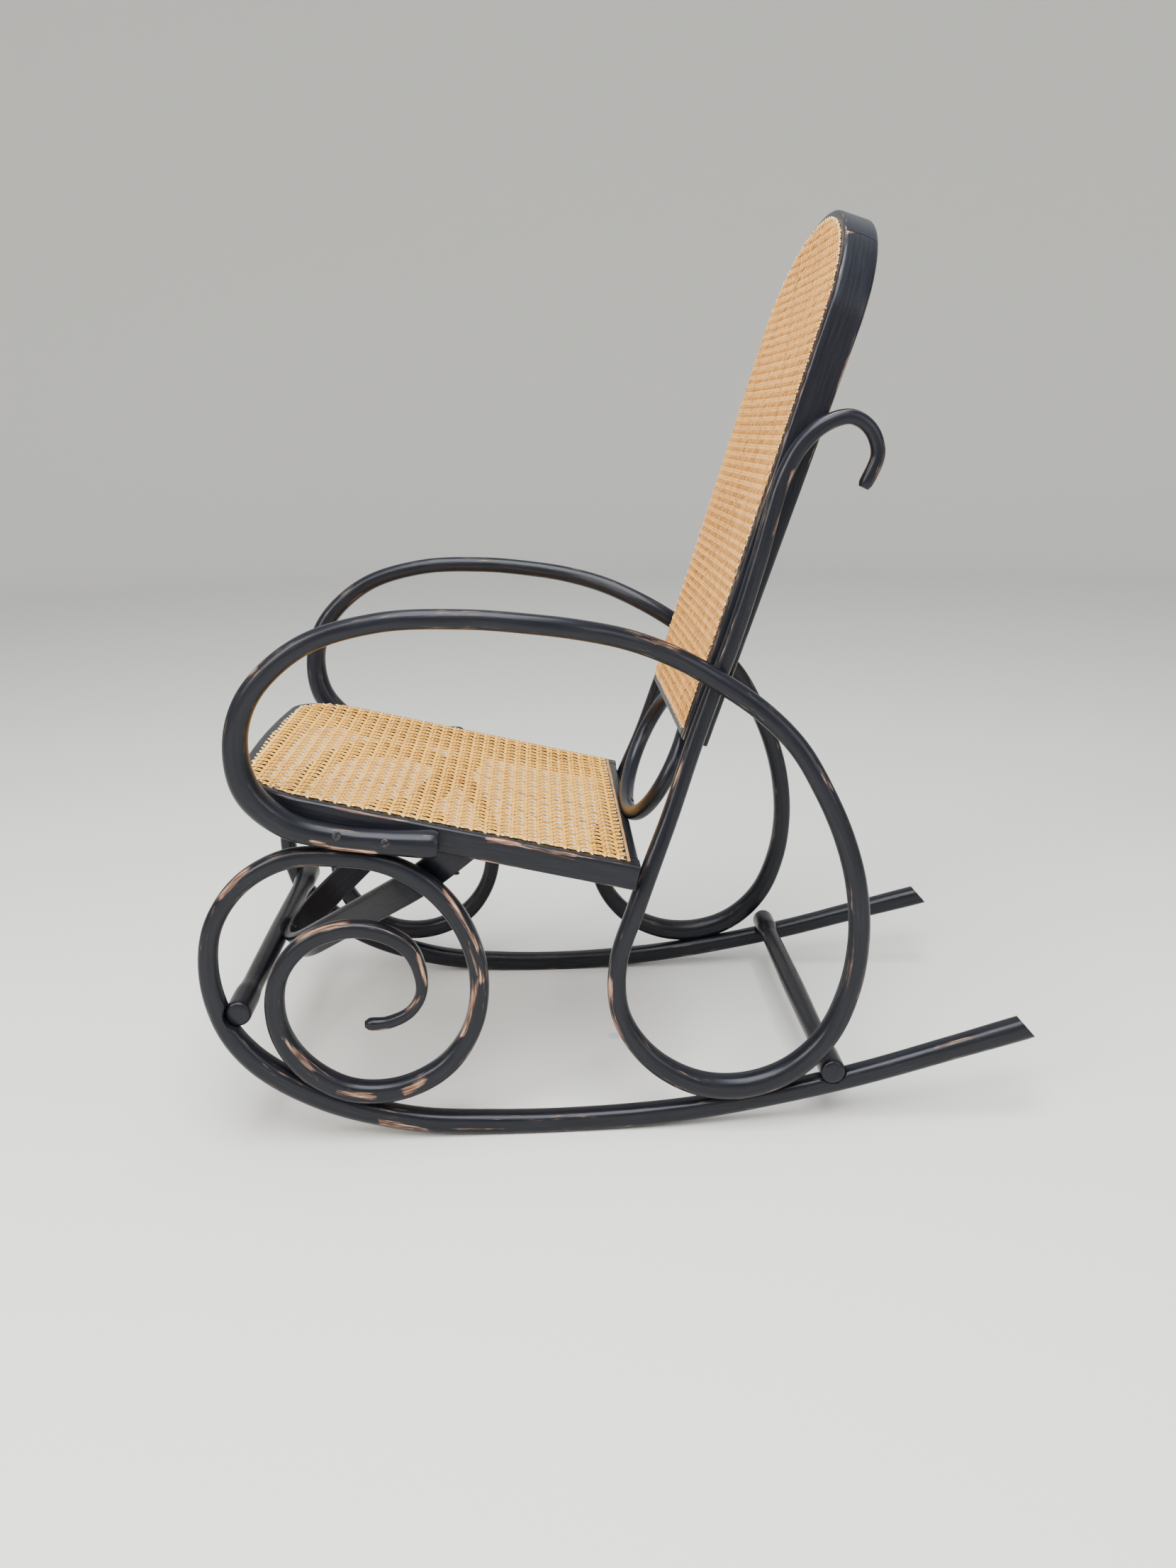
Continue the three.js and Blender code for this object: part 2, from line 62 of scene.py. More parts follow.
BACK_LEAN = 0.3269
BACK_OFFSET = -82.3         # Y of the back's front face at floor level
BACK_BOTTOM, BACK_SHOULDER, BACK_TOP = 499.0, 1000.0, 1135.0
BACK_LOW_HALF, BACK_HALF = 196.0, 206.5
BACK_RAIL = 20.0
BACK_DEPTH = 41.0
BACK_FOOT_SHARE = 0.78      # the share of that depth left at the arch's lower ends
BACK_SPLINE = 14.0
SPLINE_START = 9.0          # how far above the bottom the back's spline begins
BACK_CANE_EDGE = 10.0
BACK_PITCH = 11.5
BACK_HOLLOW = 2.5           # of the cane in the middle
SPLIT_AT = (148.5, 1093.8)  # where the arch's scarf joint shows, across and up the lean
SPLIT_STEPS = [-4.0, -0.8, 0.0, 0.8, 4.0]   # the arch's extra stations across that joint
SPLIT_WAVE, SPLIT_SLANT, SPLIT_DEPTH = 1.6, 0.12, 2.4

RING_HALF, RING_ROD = 144.0, 10.0
RING_LOW, RING_HIGH = (20.0, 338.6), (99.6, 492.6)
BRACE_WIDTH, BRACE_THICK = 37.6, 12.0
BRACE_BEND = 126.5          # radius of its front bend, to the strip's middle
BRACE_ORIGIN, BRACE_ANGLE = (0, -511, 105), 38.5    # of the plane that it lies in
BOTTOM_RAIL, BOTTOM_THICK = 22.0, 10.0
FRONT_STRETCHER, REAR_STRETCHER = (-459, 170), (252, 69)    # Y and Z of their axes
STRETCHER_BED = 16.1        # radius of the saddle they leave in the rockers
GAP = 0.3                   # between pieces that meet

# Rods as (x, y, z, radius), on the chair's left side, which is +X. These are the CAD rods' own points.
ROCKER_SCROLL = [
    (238, 514, 117, 12.5), (243, 400, 87.7, 13.2), (246.5, 290, 59.5, 12.7), (249, 180, 37, 12.4),
    (251, 60, 20, 12.7), (251.5, -60, 12.9, 13.2), (253, -160, 14.2, 13.4), (256, -245, 21.3, 13.4),
    (258, -305, 35.4, 14), (259.5, -362, 57, 14.8), (260, -417, 89, 15), (260, -450, 118, 14.2),
    (260, -474.5, 156, 13), (260, -488.5, 217, 11.6), (260, -480, 279, 10.9),
    (260, -444.5, 330.5, 11.2), (260, -391, 360, 11.5), (260, -333, 362, 11.5), (260, -276, 352, 11.8),
    (260, -227, 323, 12.5), (260, -191, 275, 12.2), (260, -174, 214, 11.5), (260, -182, 149, 11.5),
    (262, -217, 97, 13), (265, -273, 69.5, 13.3), (267, -334, 71.4, 13.8), (267, -386, 106, 13.6),
    (266, -412.5, 158.5, 12.3), (265, -406.5, 220, 11.2), (264, -368, 262.5, 11.3),
    (263, -307, 274, 10.6), (262, -255, 248.5, 10.2), (261, -241.5, 196, 7.2), (260, -256, 167, 6.8),
    (260, -285, 153, 7.2), (260, -311, 152, 6.5),
]
ARM_POST = [
    (269.5, -214, 375.5, 15.5), (270, -275, 380.5, 14.5), (270, -332, 388.4, 14), (274, -384, 406, 15),
    (279, -422, 446, 15.8), (282, -430, 503, 14), (285, -410, 557, 12.8), (289, -350, 609, 11.5),
    (291, -267, 633, 10.8), (291, -175, 635, 11), (287, -103, 628, 11.2), (279, -48, 619, 11.4),
    (261, 7, 604, 11.7), (240, 63, 579, 12), (233, 108, 552, 12), (239, 162, 514, 12),
    (245, 202, 473, 12), (251, 232, 422, 12), (254, 257, 365, 12.1), (256, 273, 305, 12.6),
    (256, 278, 240, 12.8), (256, 269, 176, 13.3), (256.5, 243.5, 116, 14), (258, 199, 73.5, 14.8),
    (259.5, 143, 55, 15.2), (258.8, 85, 60.5, 14.8), (253.5, 30, 92.5, 13.4), (248, -5, 146.5, 11.8),
    (242, -8, 211, 11), (237, 15, 281, 11.3), (229, 36, 336, 10.9), (220, 57.5, 391, 10.4),
    (211.5, 84, 468, 10.2), (209, 108, 535, 10.1), (210.5, 130, 596, 10.1), (213, 156, 680, 9.9),
    (214.5, 184, 777, 9.5), (215.5, 204, 812, 9.6), (216, 228, 832, 9.4), (216, 257, 839, 8.6),
    (215, 279, 825, 8.2), (214, 288, 798, 7.9), (214, 273, 762, 7),
]
FLAT_DEPTH = 0.85           # how far the rockers are lowered into the floor plane and cut flat
ROCKER_CUT = (0, 492.5, 113.5), (0, 0.75, 0.66)     # a point of its slanted end, and the end's facing
ROD_STEP = 5.0              # length between a rod's sections
ROD_SIDES, TURNED_SIDES, SCREW_SIDES, FLOOR_SIDES = 28, 32, 48, 120
CORNER_STEPS = 6
UNEVEN_SHARE, UNEVEN_REACH = 0.006, 14  # of a rod's radius, and over how many sections
GRAIN_ROUND = 12.0          # the radius that every rod's grain is laid round


# -------------------- mesh helpers
def new_object(name, verts, faces, material, attributes=None):
    """A smooth mesh in the scene, from points in metres and faces as lists or one array."""
    mesh = bpy.data.meshes.new(name)
    mesh.from_pydata(verts.tolist(), [], [list(map(int, f)) for f in faces])
    for key, values in (attributes or {}).items():
        values = np.asarray(values, np.float32)
        kind = "FLOAT" if values.ndim == 1 else "FLOAT_VECTOR"
        layer = mesh.attributes.new(key, kind, "POINT")
        layer.data.foreach_set("value" if values.ndim == 1 else "vector", values.ravel())
    mesh.polygons.foreach_set("use_smooth", [True] * len(mesh.polygons))
    mesh.validate()
    mesh.update()
    mesh.materials.append(material)
    obj = bpy.data.objects.new(name, mesh)
    bpy.context.scene.collection.objects.link(obj)
    return obj


def make_mesh(name, verts, faces, material, replaces=(), attributes=None):
    """One piece of the chair, from points in millimetres."""
    obj = new_object(name, np.asarray(verts, float) * MM, faces, material, attributes)
    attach(obj, BODY)
    if replaces:
        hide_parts(*replaces)
    return obj


def sharpen(obj, degrees=35):
    """Smooth shading that keeps edges sharper than an angle."""
    obj.data.set_sharp_from_angle(angle=math.radians(degrees))


def catmull_rom(points, parameters):
    """Centripetal Catmull-Rom curve through points, at parameters from 0 to 1."""
    points = np.asarray(points, float)
    spans = len(points) - 1
    ahead = 2 * points[-1] - points[-2]
    behind = 2 * points[0] - points[1]
    padded = np.vstack([behind, points, ahead])
    u = np.clip(np.asarray(parameters) * spans, 0, spans - 1e-9)
    i = u.astype(int)
    t = (u - i)[:, None]
    p0, p1, p2, p3 = (padded[i + k] for k in range(4))

    def root(a, b):
        return np.maximum(np.linalg.norm(b[:, :3] - a[:, :3], axis=1) ** 0.5, 1e-6)[:, None]

    d0, d1, d2 = root(p0, p1), root(p1, p2), root(p2, p3)
    t1 = ((p1 - p0) / d0 - (p2 - p0) / (d0 + d1) + (p2 - p1) / d1) * d1
    t2 = ((p2 - p1) / d1 - (p3 - p1) / (d1 + d2) + (p3 - p2) / d2) * d1
    a = 2 * p1 - 2 * p2 + t1 + t2
    b = -3 * p1 + 3 * p2 - 2 * t1 - t2
    return ((a * t + b) * t + t1) * t + p1


def lathed(radii, heights, sides):
    """Rings of points round the Z axis, each with its own radius and height."""
    turn = np.arange(sides) * 2 * np.pi / sides
    verts = np.zeros((len(radii), sides, 3))
    verts[..., 0] = radii[:, None] * np.cos(turn)
    verts[..., 1] = radii[:, None] * np.sin(turn)
    verts[..., 2] = heights[:, None]
    return verts


def lengths_along(line):
    """The length from a line's start to each of its points."""
    return np.concatenate([[0], np.cumsum(np.linalg.norm(np.diff(line, axis=0), axis=1))])


def evened(line, step):
    """The same line with its points at equal distances."""
    length = lengths_along(line[:, :3])
    stations = np.linspace(0, length[-1], max(int(length[-1] / step), 2) + 1)
    return np.stack([np.interp(stations, length, column) for column in line.T], 1)


def even_steps(points, step):
    """The curve through points, cut into equal lengths."""
    return evened(catmull_rom(points, np.linspace(0, 1, len(points) * 60)), step)


def directions(centres, closed):
    """Unit vectors along a line at each of its points."""
    if closed:
        tangent = np.roll(centres, -1, 0) - np.roll(centres, 1, 0)
    else:
        tangent = np.gradient(centres, axis=0)
    return tangent / np.linalg.norm(tangent, axis=1)[:, None]


def ring_faces(rings, sides, closed=False):
    """The quads between rings of points, each ring with the same number of sides."""
    count = rings if closed else rings - 1
    a = (np.arange(count) * sides)[:, None]
    b = (((np.arange(count) + 1) % rings) * sides)[:, None]
    j = np.arange(sides)[None, :]
    k = (j + 1) % sides
    return np.stack([a + j, a + k, b + k, b + j], -1).reshape(-1, 4)


def tube_faces(rings, sides, closed=False):
    """The quads of a tube, and its two ends unless it closes on itself."""
    faces = ring_faces(rings, sides, closed).tolist()
    if not closed:
        last = (rings - 1) * sides
        faces += [list(range(sides))[::-1], [last + j for j in range(sides)]]
    return faces


def wander(count, reach, seed):
    """Smooth random values round 0 along a rod."""
    noise = np.random.default_rng(seed).normal(size=count + 4 * reach)
    kernel = np.hanning(2 * reach + 1)
    smooth = np.convolve(noise, kernel / np.sqrt((kernel**2).sum()), "same")
    return smooth[2 * reach:2 * reach + count]


def rod(points, squareness, across=(1, 0, 0), closed=False, seed=1):
    """Points, faces and attributes of a bent rod. Squareness 2 is round; more is squarer."""
    stations = np.asarray(points, float) if closed else even_steps(points, ROD_STEP)
    centres, radii = stations[:, :3], stations[:, 3]
    tangent = directions(centres, closed)
    across = np.asarray(across, float)
    side = across - tangent * (tangent @ across)[:, None]
    side /= np.linalg.norm(side, axis=1)[:, None]
    up = np.cross(tangent, side)
    angle = np.arange(ROD_SIDES) * 2 * np.pi / ROD_SIDES
    square = np.broadcast_to(np.asarray(squareness, float), (len(centres),))[:, None]
    reach = (abs(np.cos(angle)) ** square + abs(np.sin(angle)) ** square) ** (-1 / square)
    if not closed:
        radii = radii * (1 + UNEVEN_SHARE * wander(len(centres), UNEVEN_REACH, seed))
    scale = radii[:, None] * reach
    verts = (
        centres[:, None]
        + side[:, None] * (scale * np.cos(angle))[..., None]
        + up[:, None] * (scale * np.sin(angle))[..., None]
    )
    faces = tube_faces(len(centres), ROD_SIDES, closed)
    along = np.repeat(lengths_along(centres), ROD_SIDES)
    turn = np.tile(angle, len(centres))
    grain = np.stack([along, GRAIN_ROUND * np.cos(turn), GRAIN_ROUND * np.sin(turn)], 1) * MM
    ridge = np.abs(np.sin(2 * turn)) ** 3
    return verts.reshape(-1, 3), faces, {"grain": grain, "ridge": ridge}


def mirror(verts, faces):
    """The same shape on the chair's other side."""
    flipped = np.array(verts, float)
    flipped[:, 0] *= -1
    return flipped, [list(f)[::-1] for f in faces]


def pushed_out(verts, nearest, radius):
    """Points moved away from the nearest ones of a rod's axis until they are clear of the rod."""
    away = verts - nearest
    distance = np.linalg.norm(away, axis=1)
    push = np.where(distance < radius, radius / np.maximum(distance, 0.01) - 1, 0)
    return verts + away * push[:, None]


def clear_of_rod(verts, line):
    """Points pushed out of a bent rod, which is given as closely set (x, y, z, radius)."""
    blocks = np.array_split(verts, len(verts) // 2000 + 1)
    nearest = np.concatenate([
        np.argmin(((block[:, None] - line[None, :, :3]) ** 2).sum(-1), axis=1) for block in blocks
    ])
    return pushed_out(verts, line[nearest, :3], line[nearest, 3] + GAP)


def streaks(verts, places):
    """Rubbing along short lines, each given as one end, the other end, reach and amount."""
    verts = np.asarray(verts, float)
    total = np.zeros(len(verts))
    for start, end, reach, amount in places:
        start, end = np.array(start, float), np.array(end, float)
        run = end - start
        share = np.clip((verts - start) @ run / max(run @ run, 1e-6), 0, 1)
        away = np.linalg.norm(verts - start - share[:, None] * run, axis=1)
        total = np.maximum(total, amount * np.exp(-((away / reach) ** 2)))
    return total


def cut_end(obj, point, normal):
    """Cuts a piece off at a plane and closes it."""
    mesh = bmesh.new()
    mesh.from_mesh(obj.data)
    everything = mesh.verts[:] + mesh.edges[:] + mesh.faces[:]
    made = bmesh.ops.bisect_plane(
        mesh, geom=everything, plane_co=Vector(point) * MM, plane_no=Vector(normal),
        clear_outer=True,
    )
    rim = [e for e in made["geom_cut"] if isinstance(e, bmesh.types.BMEdge)]
    bmesh.ops.holes_fill(mesh, edges=rim, sides=0)
    bmesh.ops.recalc_face_normals(mesh, faces=mesh.faces[:])
    mesh.to_mesh(obj.data)
    mesh.free()
    sharpen(obj)


class Placed:
    """A sloping plane's own coordinates: X across, Y up or down the slope, Z out of it."""

    def __init__(self, origin, angle):
        self.matrix = np.array(Matrix.Rotation(angle, 3, "X"))
        self.origin = np.asarray(origin, float)

    def __call__(self, points):
        return np.asarray(points, float) @ self.matrix.T + self.origin


seat_plane = Placed((0, 0, SEAT_HEIGHT), -math.atan(SEAT_SLOPE))
back_plane = Placed((0, BACK_OFFSET, 0), -math.atan(BACK_LEAN))
brace_plane = Placed(BRACE_ORIGIN, math.radians(BRACE_ANGLE))


def rounded_section(width, height, radius, gap=5.0):
    """A rectangle below Y = 0 with rounded corners, as points, and how near each is to a corner."""
    points, ridge = [], []
    corners = [
        (width - radius, height - radius, 0), (radius, height - radius, 90),
        (radius, radius, 180), (width - radius, radius, 270),
    ]
    for number, (u, v, start) in enumerate(corners):
        for angle in np.radians(start + np.linspace(0, 90, CORNER_STEPS)):
            points.append((u + radius * math.cos(angle), v + radius * math.sin(angle)))
            ridge.append(abs(math.sin(2 * (angle - math.radians(start)))))
        after = corners[(number + 1) % 4]
        turn = math.radians(start + 90)
        here = np.array(points[-1])
        there = np.array([after[0], after[1]]) + radius * np.array([math.cos(turn), math.sin(turn)])
        for share in np.linspace(0, 1, max(int(np.linalg.norm(there - here) / gap), 1) + 1)[1:-1]:
            points.append(tuple(here + (there - here) * share))
            ridge.append(0.0)
    return np.array(points) - (0, height), np.array(ridge)


def sweep(line, inward, section, ridge):
    """Carries a section along a line in a plane. A section point is (inward, up)."""
    rings, sides = len(line), len(section)
    verts = np.zeros((rings, sides, 3))
    verts[..., :2] = line[:, None] + inward[:, None] * section[None, :, :1]
    verts[..., 2] = section[None, :, 1]
    grain = np.zeros((rings, sides, 3))
    grain[..., 0] = lengths_along(line)[:, None]
    grain[..., 1:] = section[None]
    attributes = {"grain": grain.reshape(-1, 3) * MM, "ridge": np.tile(ridge, rings)}
    return verts.reshape(-1, 3), tube_faces(rings, sides), attributes


def left_of(line):
    """Unit vectors to the left of a line's direction."""
    run = np.gradient(line, axis=0)
    run /= np.linalg.norm(run, axis=1)[:, None]
    return np.stack([-run[:, 1], run[:, 0]], 1)


# -------------------- materials
def new_material(name, colour, roughness, metallic=0.0):
    material = bpy.data.materials.new(name)
    material.use_nodes = True
    material.diffuse_color = (*colour, 1)
    shader = material.node_tree.nodes["Principled BSDF"]
    shader.inputs["Base Color"].default_value = (*colour, 1)
    shader.inputs["Roughness"].default_value = roughness
    shader.inputs["Metallic"].default_value = metallic
    return material, material.node_tree, shader


def node(tree, kind, **settings):
    """A new node, with settings of its inputs or of the node itself."""
    made = tree.nodes.new(kind)
    for key, value in settings.items():
        if key in made.inputs.keys():
            made.inputs[key].default_value = value
        else:
            setattr(made, key, value)
    return made


def attribute(tree, name, output="Fac"):
    return node(tree, "ShaderNodeAttribute", attribute_name=name).outputs[output]


def noise(tree, vector, scale, detail=4.0, stretch=None):
    """Noise, stretched along the grain if a stretch is given."""
    if stretch:
        mapping = node(tree, "ShaderNodeMapping")
        mapping.inputs["Scale"].default_value = stretch
        tree.links.new(vector, mapping.inputs["Vector"])
        vector = mapping.outputs["Vector"]
    made = node(tree, "ShaderNodeTexNoise", Scale=scale, Detail=detail)
    tree.links.new(vector, made.inputs["Vector"])
    return made.outputs["Fac"]


def ramp(tree, value, *stops):
    """Maps a value through stops of (position, colour)."""
    made = node(tree, "ShaderNodeValToRGB")
    elements = made.color_ramp.elements
    while len(elements) < len(stops):
        elements.new(0.5)
    for element, (position, colour) in zip(elements, stops):
        element.position = position
        element.color = (*colour, 1) if len(colour) == 3 else colour
    tree.links.new(value, made.inputs["Fac"])
    return made.outputs["Color"]


def plus_share(tree, first, second, share):
    """The first value plus a share of the second."""
    made = node(tree, "ShaderNodeMath", operation="MULTIPLY_ADD")
    tree.links.new(second, made.inputs[0])
    made.inputs[1].default_value = share
    tree.links.new(first, made.inputs[2])
    return made.outputs[0]


def remapped(tree, value, low, high, to_low=0.0, to_high=1.0):
    """A value moved from one range to another and kept within it."""
    made = node(tree, "ShaderNodeMapRange")
    limits = {"From Min": low, "From Max": high, "To Min": to_low, "To Max": to_high}
    for key, limit in limits.items():
        made.inputs[key].default_value = limit
    tree.links.new(value, made.inputs["Value"])
    return made.outputs["Result"]


def blend_colour(tree, share, first, second):
    made = node(tree, "ShaderNodeMix", data_type="RGBA")
    tree.links.new(share, made.inputs["Factor"])
    tree.links.new(first, made.inputs[6])
    tree.links.new(second, made.inputs[7])
    return made.outputs[2]


def bump(tree, shader, height, distance, strength):
    made = node(tree, "ShaderNodeBump", Strength=strength, Distance=distance)
    tree.links.new(height, made.inputs["Height"])
    tree.links.new(made.outputs["Normal"], shader.inputs["Normal"])


def ebonised_wood():
    """Blue-black finish with streaks along the grain, rubbed through to pinkish wood."""
    material, tree, shader = new_material("bentwood_ebonised", (0.012, 0.013, 0.018), 0.32)
    grain = attribute(tree, "grain", "Vector")
    long_streaks = noise(tree, grain, 60.0, 5.0, (0.30, 6.0, 6.0))
    cloudy = noise(tree, grain, 14.0, 3.0)
    fibres = noise(tree, grain, 650.0, 5.0, (0.07, 1.0, 1.0))
    finish = ramp(
        tree, long_streaks,
        (0.3, (0.0045, 0.0048, 0.0070)), (0.5, (0.0066, 0.0070, 0.0102)),
        (0.72, (0.0100, 0.0106, 0.0150)),
    )
    bare = ramp(
        tree, fibres,
        (0.32, (0.07, 0.032, 0.020)), (0.5, (0.25, 0.125, 0.075)), (0.70, (0.66, 0.44, 0.29)),
    )
    rubbed = plus_share(tree, attribute(tree, "wear"), long_streaks, 0.7)
    rubbed = plus_share(tree, plus_share(tree, rubbed, fibres, 0.6), cloudy, 0.45)
    bared = remapped(tree, rubbed, 1.14, 1.6, 0.0, 0.95)
    tree.links.new(blend_colour(tree, bared, finish, bare), shader.inputs["Base Color"])
    matte = plus_share(tree, plus_share(tree, bared, long_streaks, 0.25), cloudy, 0.2)
    tree.links.new(remapped(tree, matte, 0.05, 0.9, 0.22, 0.6), shader.inputs["Roughness"])
    shader.inputs["Specular IOR Level"].default_value = 0.24
    bump(tree, shader, plus_share(tree, long_streaks, fibres, 0.35), 0.0006, 0.4)
    return material


def cane(name, dark, middle, light, tip):
    """Split cane: every strand its own tone, darkened by painted shade where it dips under others, paler
    at the cut tips.
    """
    material, tree, shader = new_material(name, middle, 0.42)
    grain = attribute(tree, "grain", "Vector")
    along = noise(tree, grain, 70.0, 4.0, (1.0, 14.0, 1.0))
    patch = noise(tree, grain, 12.0, 2.0)
    # the tone attribute is each strand's own tone less painted shade where it dips under others
    tone_and_shade = plus_share(tree, attribute(tree, "tone_and_shade"), along, 0.55)
    tone_and_shade = remapped(tree, plus_share(tree, tone_and_shade, patch, 0.35), 0.3, 1.3)
    colour = ramp(tree, tone_and_shade, (0.08, dark), (0.45, middle), (0.85, light))
    pale = ramp(tree, along, (0.3, tip), (0.7, tuple(min(1, c * 1.15) for c in tip)))
    colour = blend_colour(tree, attribute(tree, "tip"), colour, pale)
    tree.links.new(colour, shader.inputs["Base Color"])
    shader.inputs["Specular IOR Level"].default_value = 0.22
    bump(tree, shader, along, 0.0003, 0.4)
    return material


def reed():
    """Round cane core, golden brown with streaks."""
    material, tree, shader = new_material("reed_spline", (0.42, 0.24, 0.10), 0.5)
    grain = attribute(tree, "grain", "Vector")
    streaks = noise(tree, grain, 120.0, 5.0, (0.3, 5.0, 5.0))
    colour = ramp(
        tree, streaks,
        (0.3, (0.20, 0.085, 0.022)), (0.5, (0.42, 0.21, 0.065)), (0.75, (0.60, 0.36, 0.14)),
    )
    tree.links.new(colour, shader.inputs["Base Color"])
    bump(tree, shader, streaks, 0.0004, 0.4)
    return material


def dark_screw():
    """Blackened steel with small spots of rust."""
    material, tree, shader = new_material("blackened_screw", (0.03, 0.03, 0.034), 0.38, 0.75)
    place = node(tree, "ShaderNodeTexCoord").outputs["Object"]
    spots_of_rust = noise(tree, place, 420.0, 5.0)
    colour = ramp(
        tree, spots_of_rust,
        (0.35, (0.018, 0.018, 0.022)), (0.6, (0.05, 0.048, 0.05)), (0.78, (0.16, 0.10, 0.07)),
    )
    tree.links.new(colour, shader.inputs["Base Color"])
    rough = ramp(tree, spots_of_rust, (0.3, (0.28,) * 3), (0.7, (0.6,) * 3))
    tree.links.new(rough, shader.inputs["Roughness"])
    bump(tree, shader, spots_of_rust, 0.0003, 0.3)
    return material


WOOD = ebonised_wood()
SEAT_CANE = cane(
    "seat_cane", (0.13, 0.042, 0.006), (0.52, 0.220, 0.024), (0.82, 0.44, 0.075), (0.90, 0.66, 0.30))
BACK_CANE = cane(
    "back_cane", (0.085, 0.026, 0.006), (0.38, 0.150, 0.026), (0.72, 0.36, 0.090), (0.86, 0.62, 0.32))
REED = reed()
SCREW = dark_screw()


# -------------------- bent rods
# Where the finish is rubbed through: one end, the other end, reach and amount. All of it is on the
# left side or in the middle, and the right side gets the same.
ROD_WEAR = [
    ((284, -431, 444), (284, -400, 412), 4.0, 0.46), ((284, -354, 388), (284, -340, 384), 3.0, 0.64),
    ((281, -333, 376), (281, -285, 372), 3.0, 0.74), ((281, -272, 377), (281, -246, 376), 3.0, 0.55),
    ((282, -228, 390), (282, -216, 390), 2.5, 0.46), ((284, -448, 500), (293, -400, 585), 3.5, 0.41),
    ((290, -330, 628), (292, -160, 645), 4.0, 0.39), ((275, -40, 628), (250, 60, 592), 3.5, 0.41),
    ((272, 147, 523), (262, 184, 492), 1.8, 0.75), ((262, 193, 483), (262, 247, 418), 1.6, 0.6),
    ((268, 235, 440), (270, 268, 360), 3.5, 0.37),
    ((268, 195, 60), (264, 250, 105), 2.0, 0.36), ((266, 60, 60), (268, 140, 42), 2.4, 0.5),
    ((256, -8, 122), (252, -20, 195), 3.0, 0.74), ((270, 90, 63), (271, 118, 56), 2.4, 0.66),
    ((224, 192, 783), (224, 187, 759), 2.5, 0.64), ((224, 187, 759), (224, 173, 715), 2.5, 0.60),
    ((224, 160, 752), (224, 147, 685), 2.5, 0.37), ((222, 62, 425), (222, 85, 515), 1.8, 0.62),
    ((222, 60, 400), (224, 50, 352), 1.6, 0.46), ((218, 290, 810), (218, 288, 770), 2.5, 0.37),
    ((268, -464, 318), (268, -428, 359), 3.5, 0.60), ((268, -489, 256), (268, -472, 304), 3.5, 0.46),
    ((270, -208, 320), (270, -173, 247), 3.0, 0.55), ((270, -184, 257), (270, -170, 208), 3.0, 0.64),
    ((270, -174, 208), (270, -195, 139), 3.0, 0.60), ((277, -407, 146), (278, -367, 92), 3.0, 0.45),
    ((278, -345, 74), (279, -304, 66), 4.0, 0.64), ((277, -265, 70), (274, -243, 84), 4.0, 0.92),
    ((270, -396, 263), (270, -323, 287), 3.5, 0.69), ((270, -243, 239), (267, -236, 205), 2.2, 0.83),
    ((266, -257, 171), (266, -240, 190), 2.2, 0.51), ((264, -311, 146), (265, -286, 146), 2.5, 0.74),
    ((270, -408, 186), (270, -404, 156), 3.0, 0.46), ((271, -300, 29), (268, -245, 15), 2.4, 0.75),
    ((268, -245, 15), (265, -150, 9), 1.6, 0.75), ((264, -150, 8), (263, -60, 8), 1.2, 0.5),
    ((248, 478, 128), (246, 505, 134), 4.0, 0.74), ((250, 380, 92), (248, 470, 112), 3.0, 0.39),
]
RAIL_WEAR = ROD_WEAR + [
    ((255, -156, 376), (255, -125, 369), 3.5, 0.66), ((255, -125, 367), (255, -60, 353), 2.2, 0.57),
    ((257, -178, 351), (256, -122, 338), 3.0, 0.69), ((150, -455, 452), (60, -462, 453), 3.0, 0.41),
    ((256, -330, 418), (256, -250, 400), 2.2, 0.37),
]
ARCH_WEAR = ROD_WEAR + [
    ((150, 261, 1038), (150, 268, 1036), 1.6, 1.0), ((148, 274, 1033), (149, 283, 1030), 1.4, 0.9),
    ((120, 254, 1062), (60, 263, 1073), 2.5, 0.69), ((60, 263, 1073), (-60, 263, 1073), 2.5, 0.46),
    ((206, 190, 860), (206, 230, 960), 2.2, 0.46), ((196, 85, 520), (200, 110, 600), 2.2, 0.41),
]


def wood_wear(verts, ridge, amount=0.2, places=ROD_WEAR):
    """How much the finish is rubbed at each point: along the edges and at the places."""
    near = np.array(verts, float)
    near[:, 0] = abs(near[:, 0])
    return np.clip(amount * np.asarray(ridge) + streaks(near, places), 0, 1.2)


def wooden(node_name, kind, verts, faces, attributes, amount=0.2, places=ROD_WEAR):
    """The piece in worn wood that replaces one node."""
    attributes["wear"] = wood_wear(verts, attributes["ridge"], amount, places)
    obj = make_mesh(
        f"{node_name}_{kind}", verts, faces, WOOD, [node_name], attributes)
    sharpen(obj, 50)
    return obj


def pair(name, verts, faces, attributes):
    """The piece for the left side and its mirror image for the right."""
    left = wooden(f"{name}_left", "bent", verts, faces, attributes)
    return left, wooden(f"{name}_right", "bent", *mirror(verts, faces), attributes)


def narrowed_end(points, depth):
    """A rod's points with its first end narrowed a little."""
    here, ahead = points[:2]
    inner = here + (ahead - here) * depth / np.linalg.norm((ahead - here)[:3])
    return np.vstack([here - (0, 0, 0, depth * 0.8), inner, points[1:]])


def chamfered(points, first=1.5, last=1.5):
    """A rod's points with both ends narrowed."""
    return narrowed_end(narrowed_end(np.array(points, float), first)[::-1], last)[::-1]


def rocker_squareness(count):
    """The foot of the rocker is squarer than the scroll."""
    along = np.linspace(0, 1, count)
    return 2.7 + 0.6 * np.exp(-(((along - 0.2) / 0.2) ** 2))


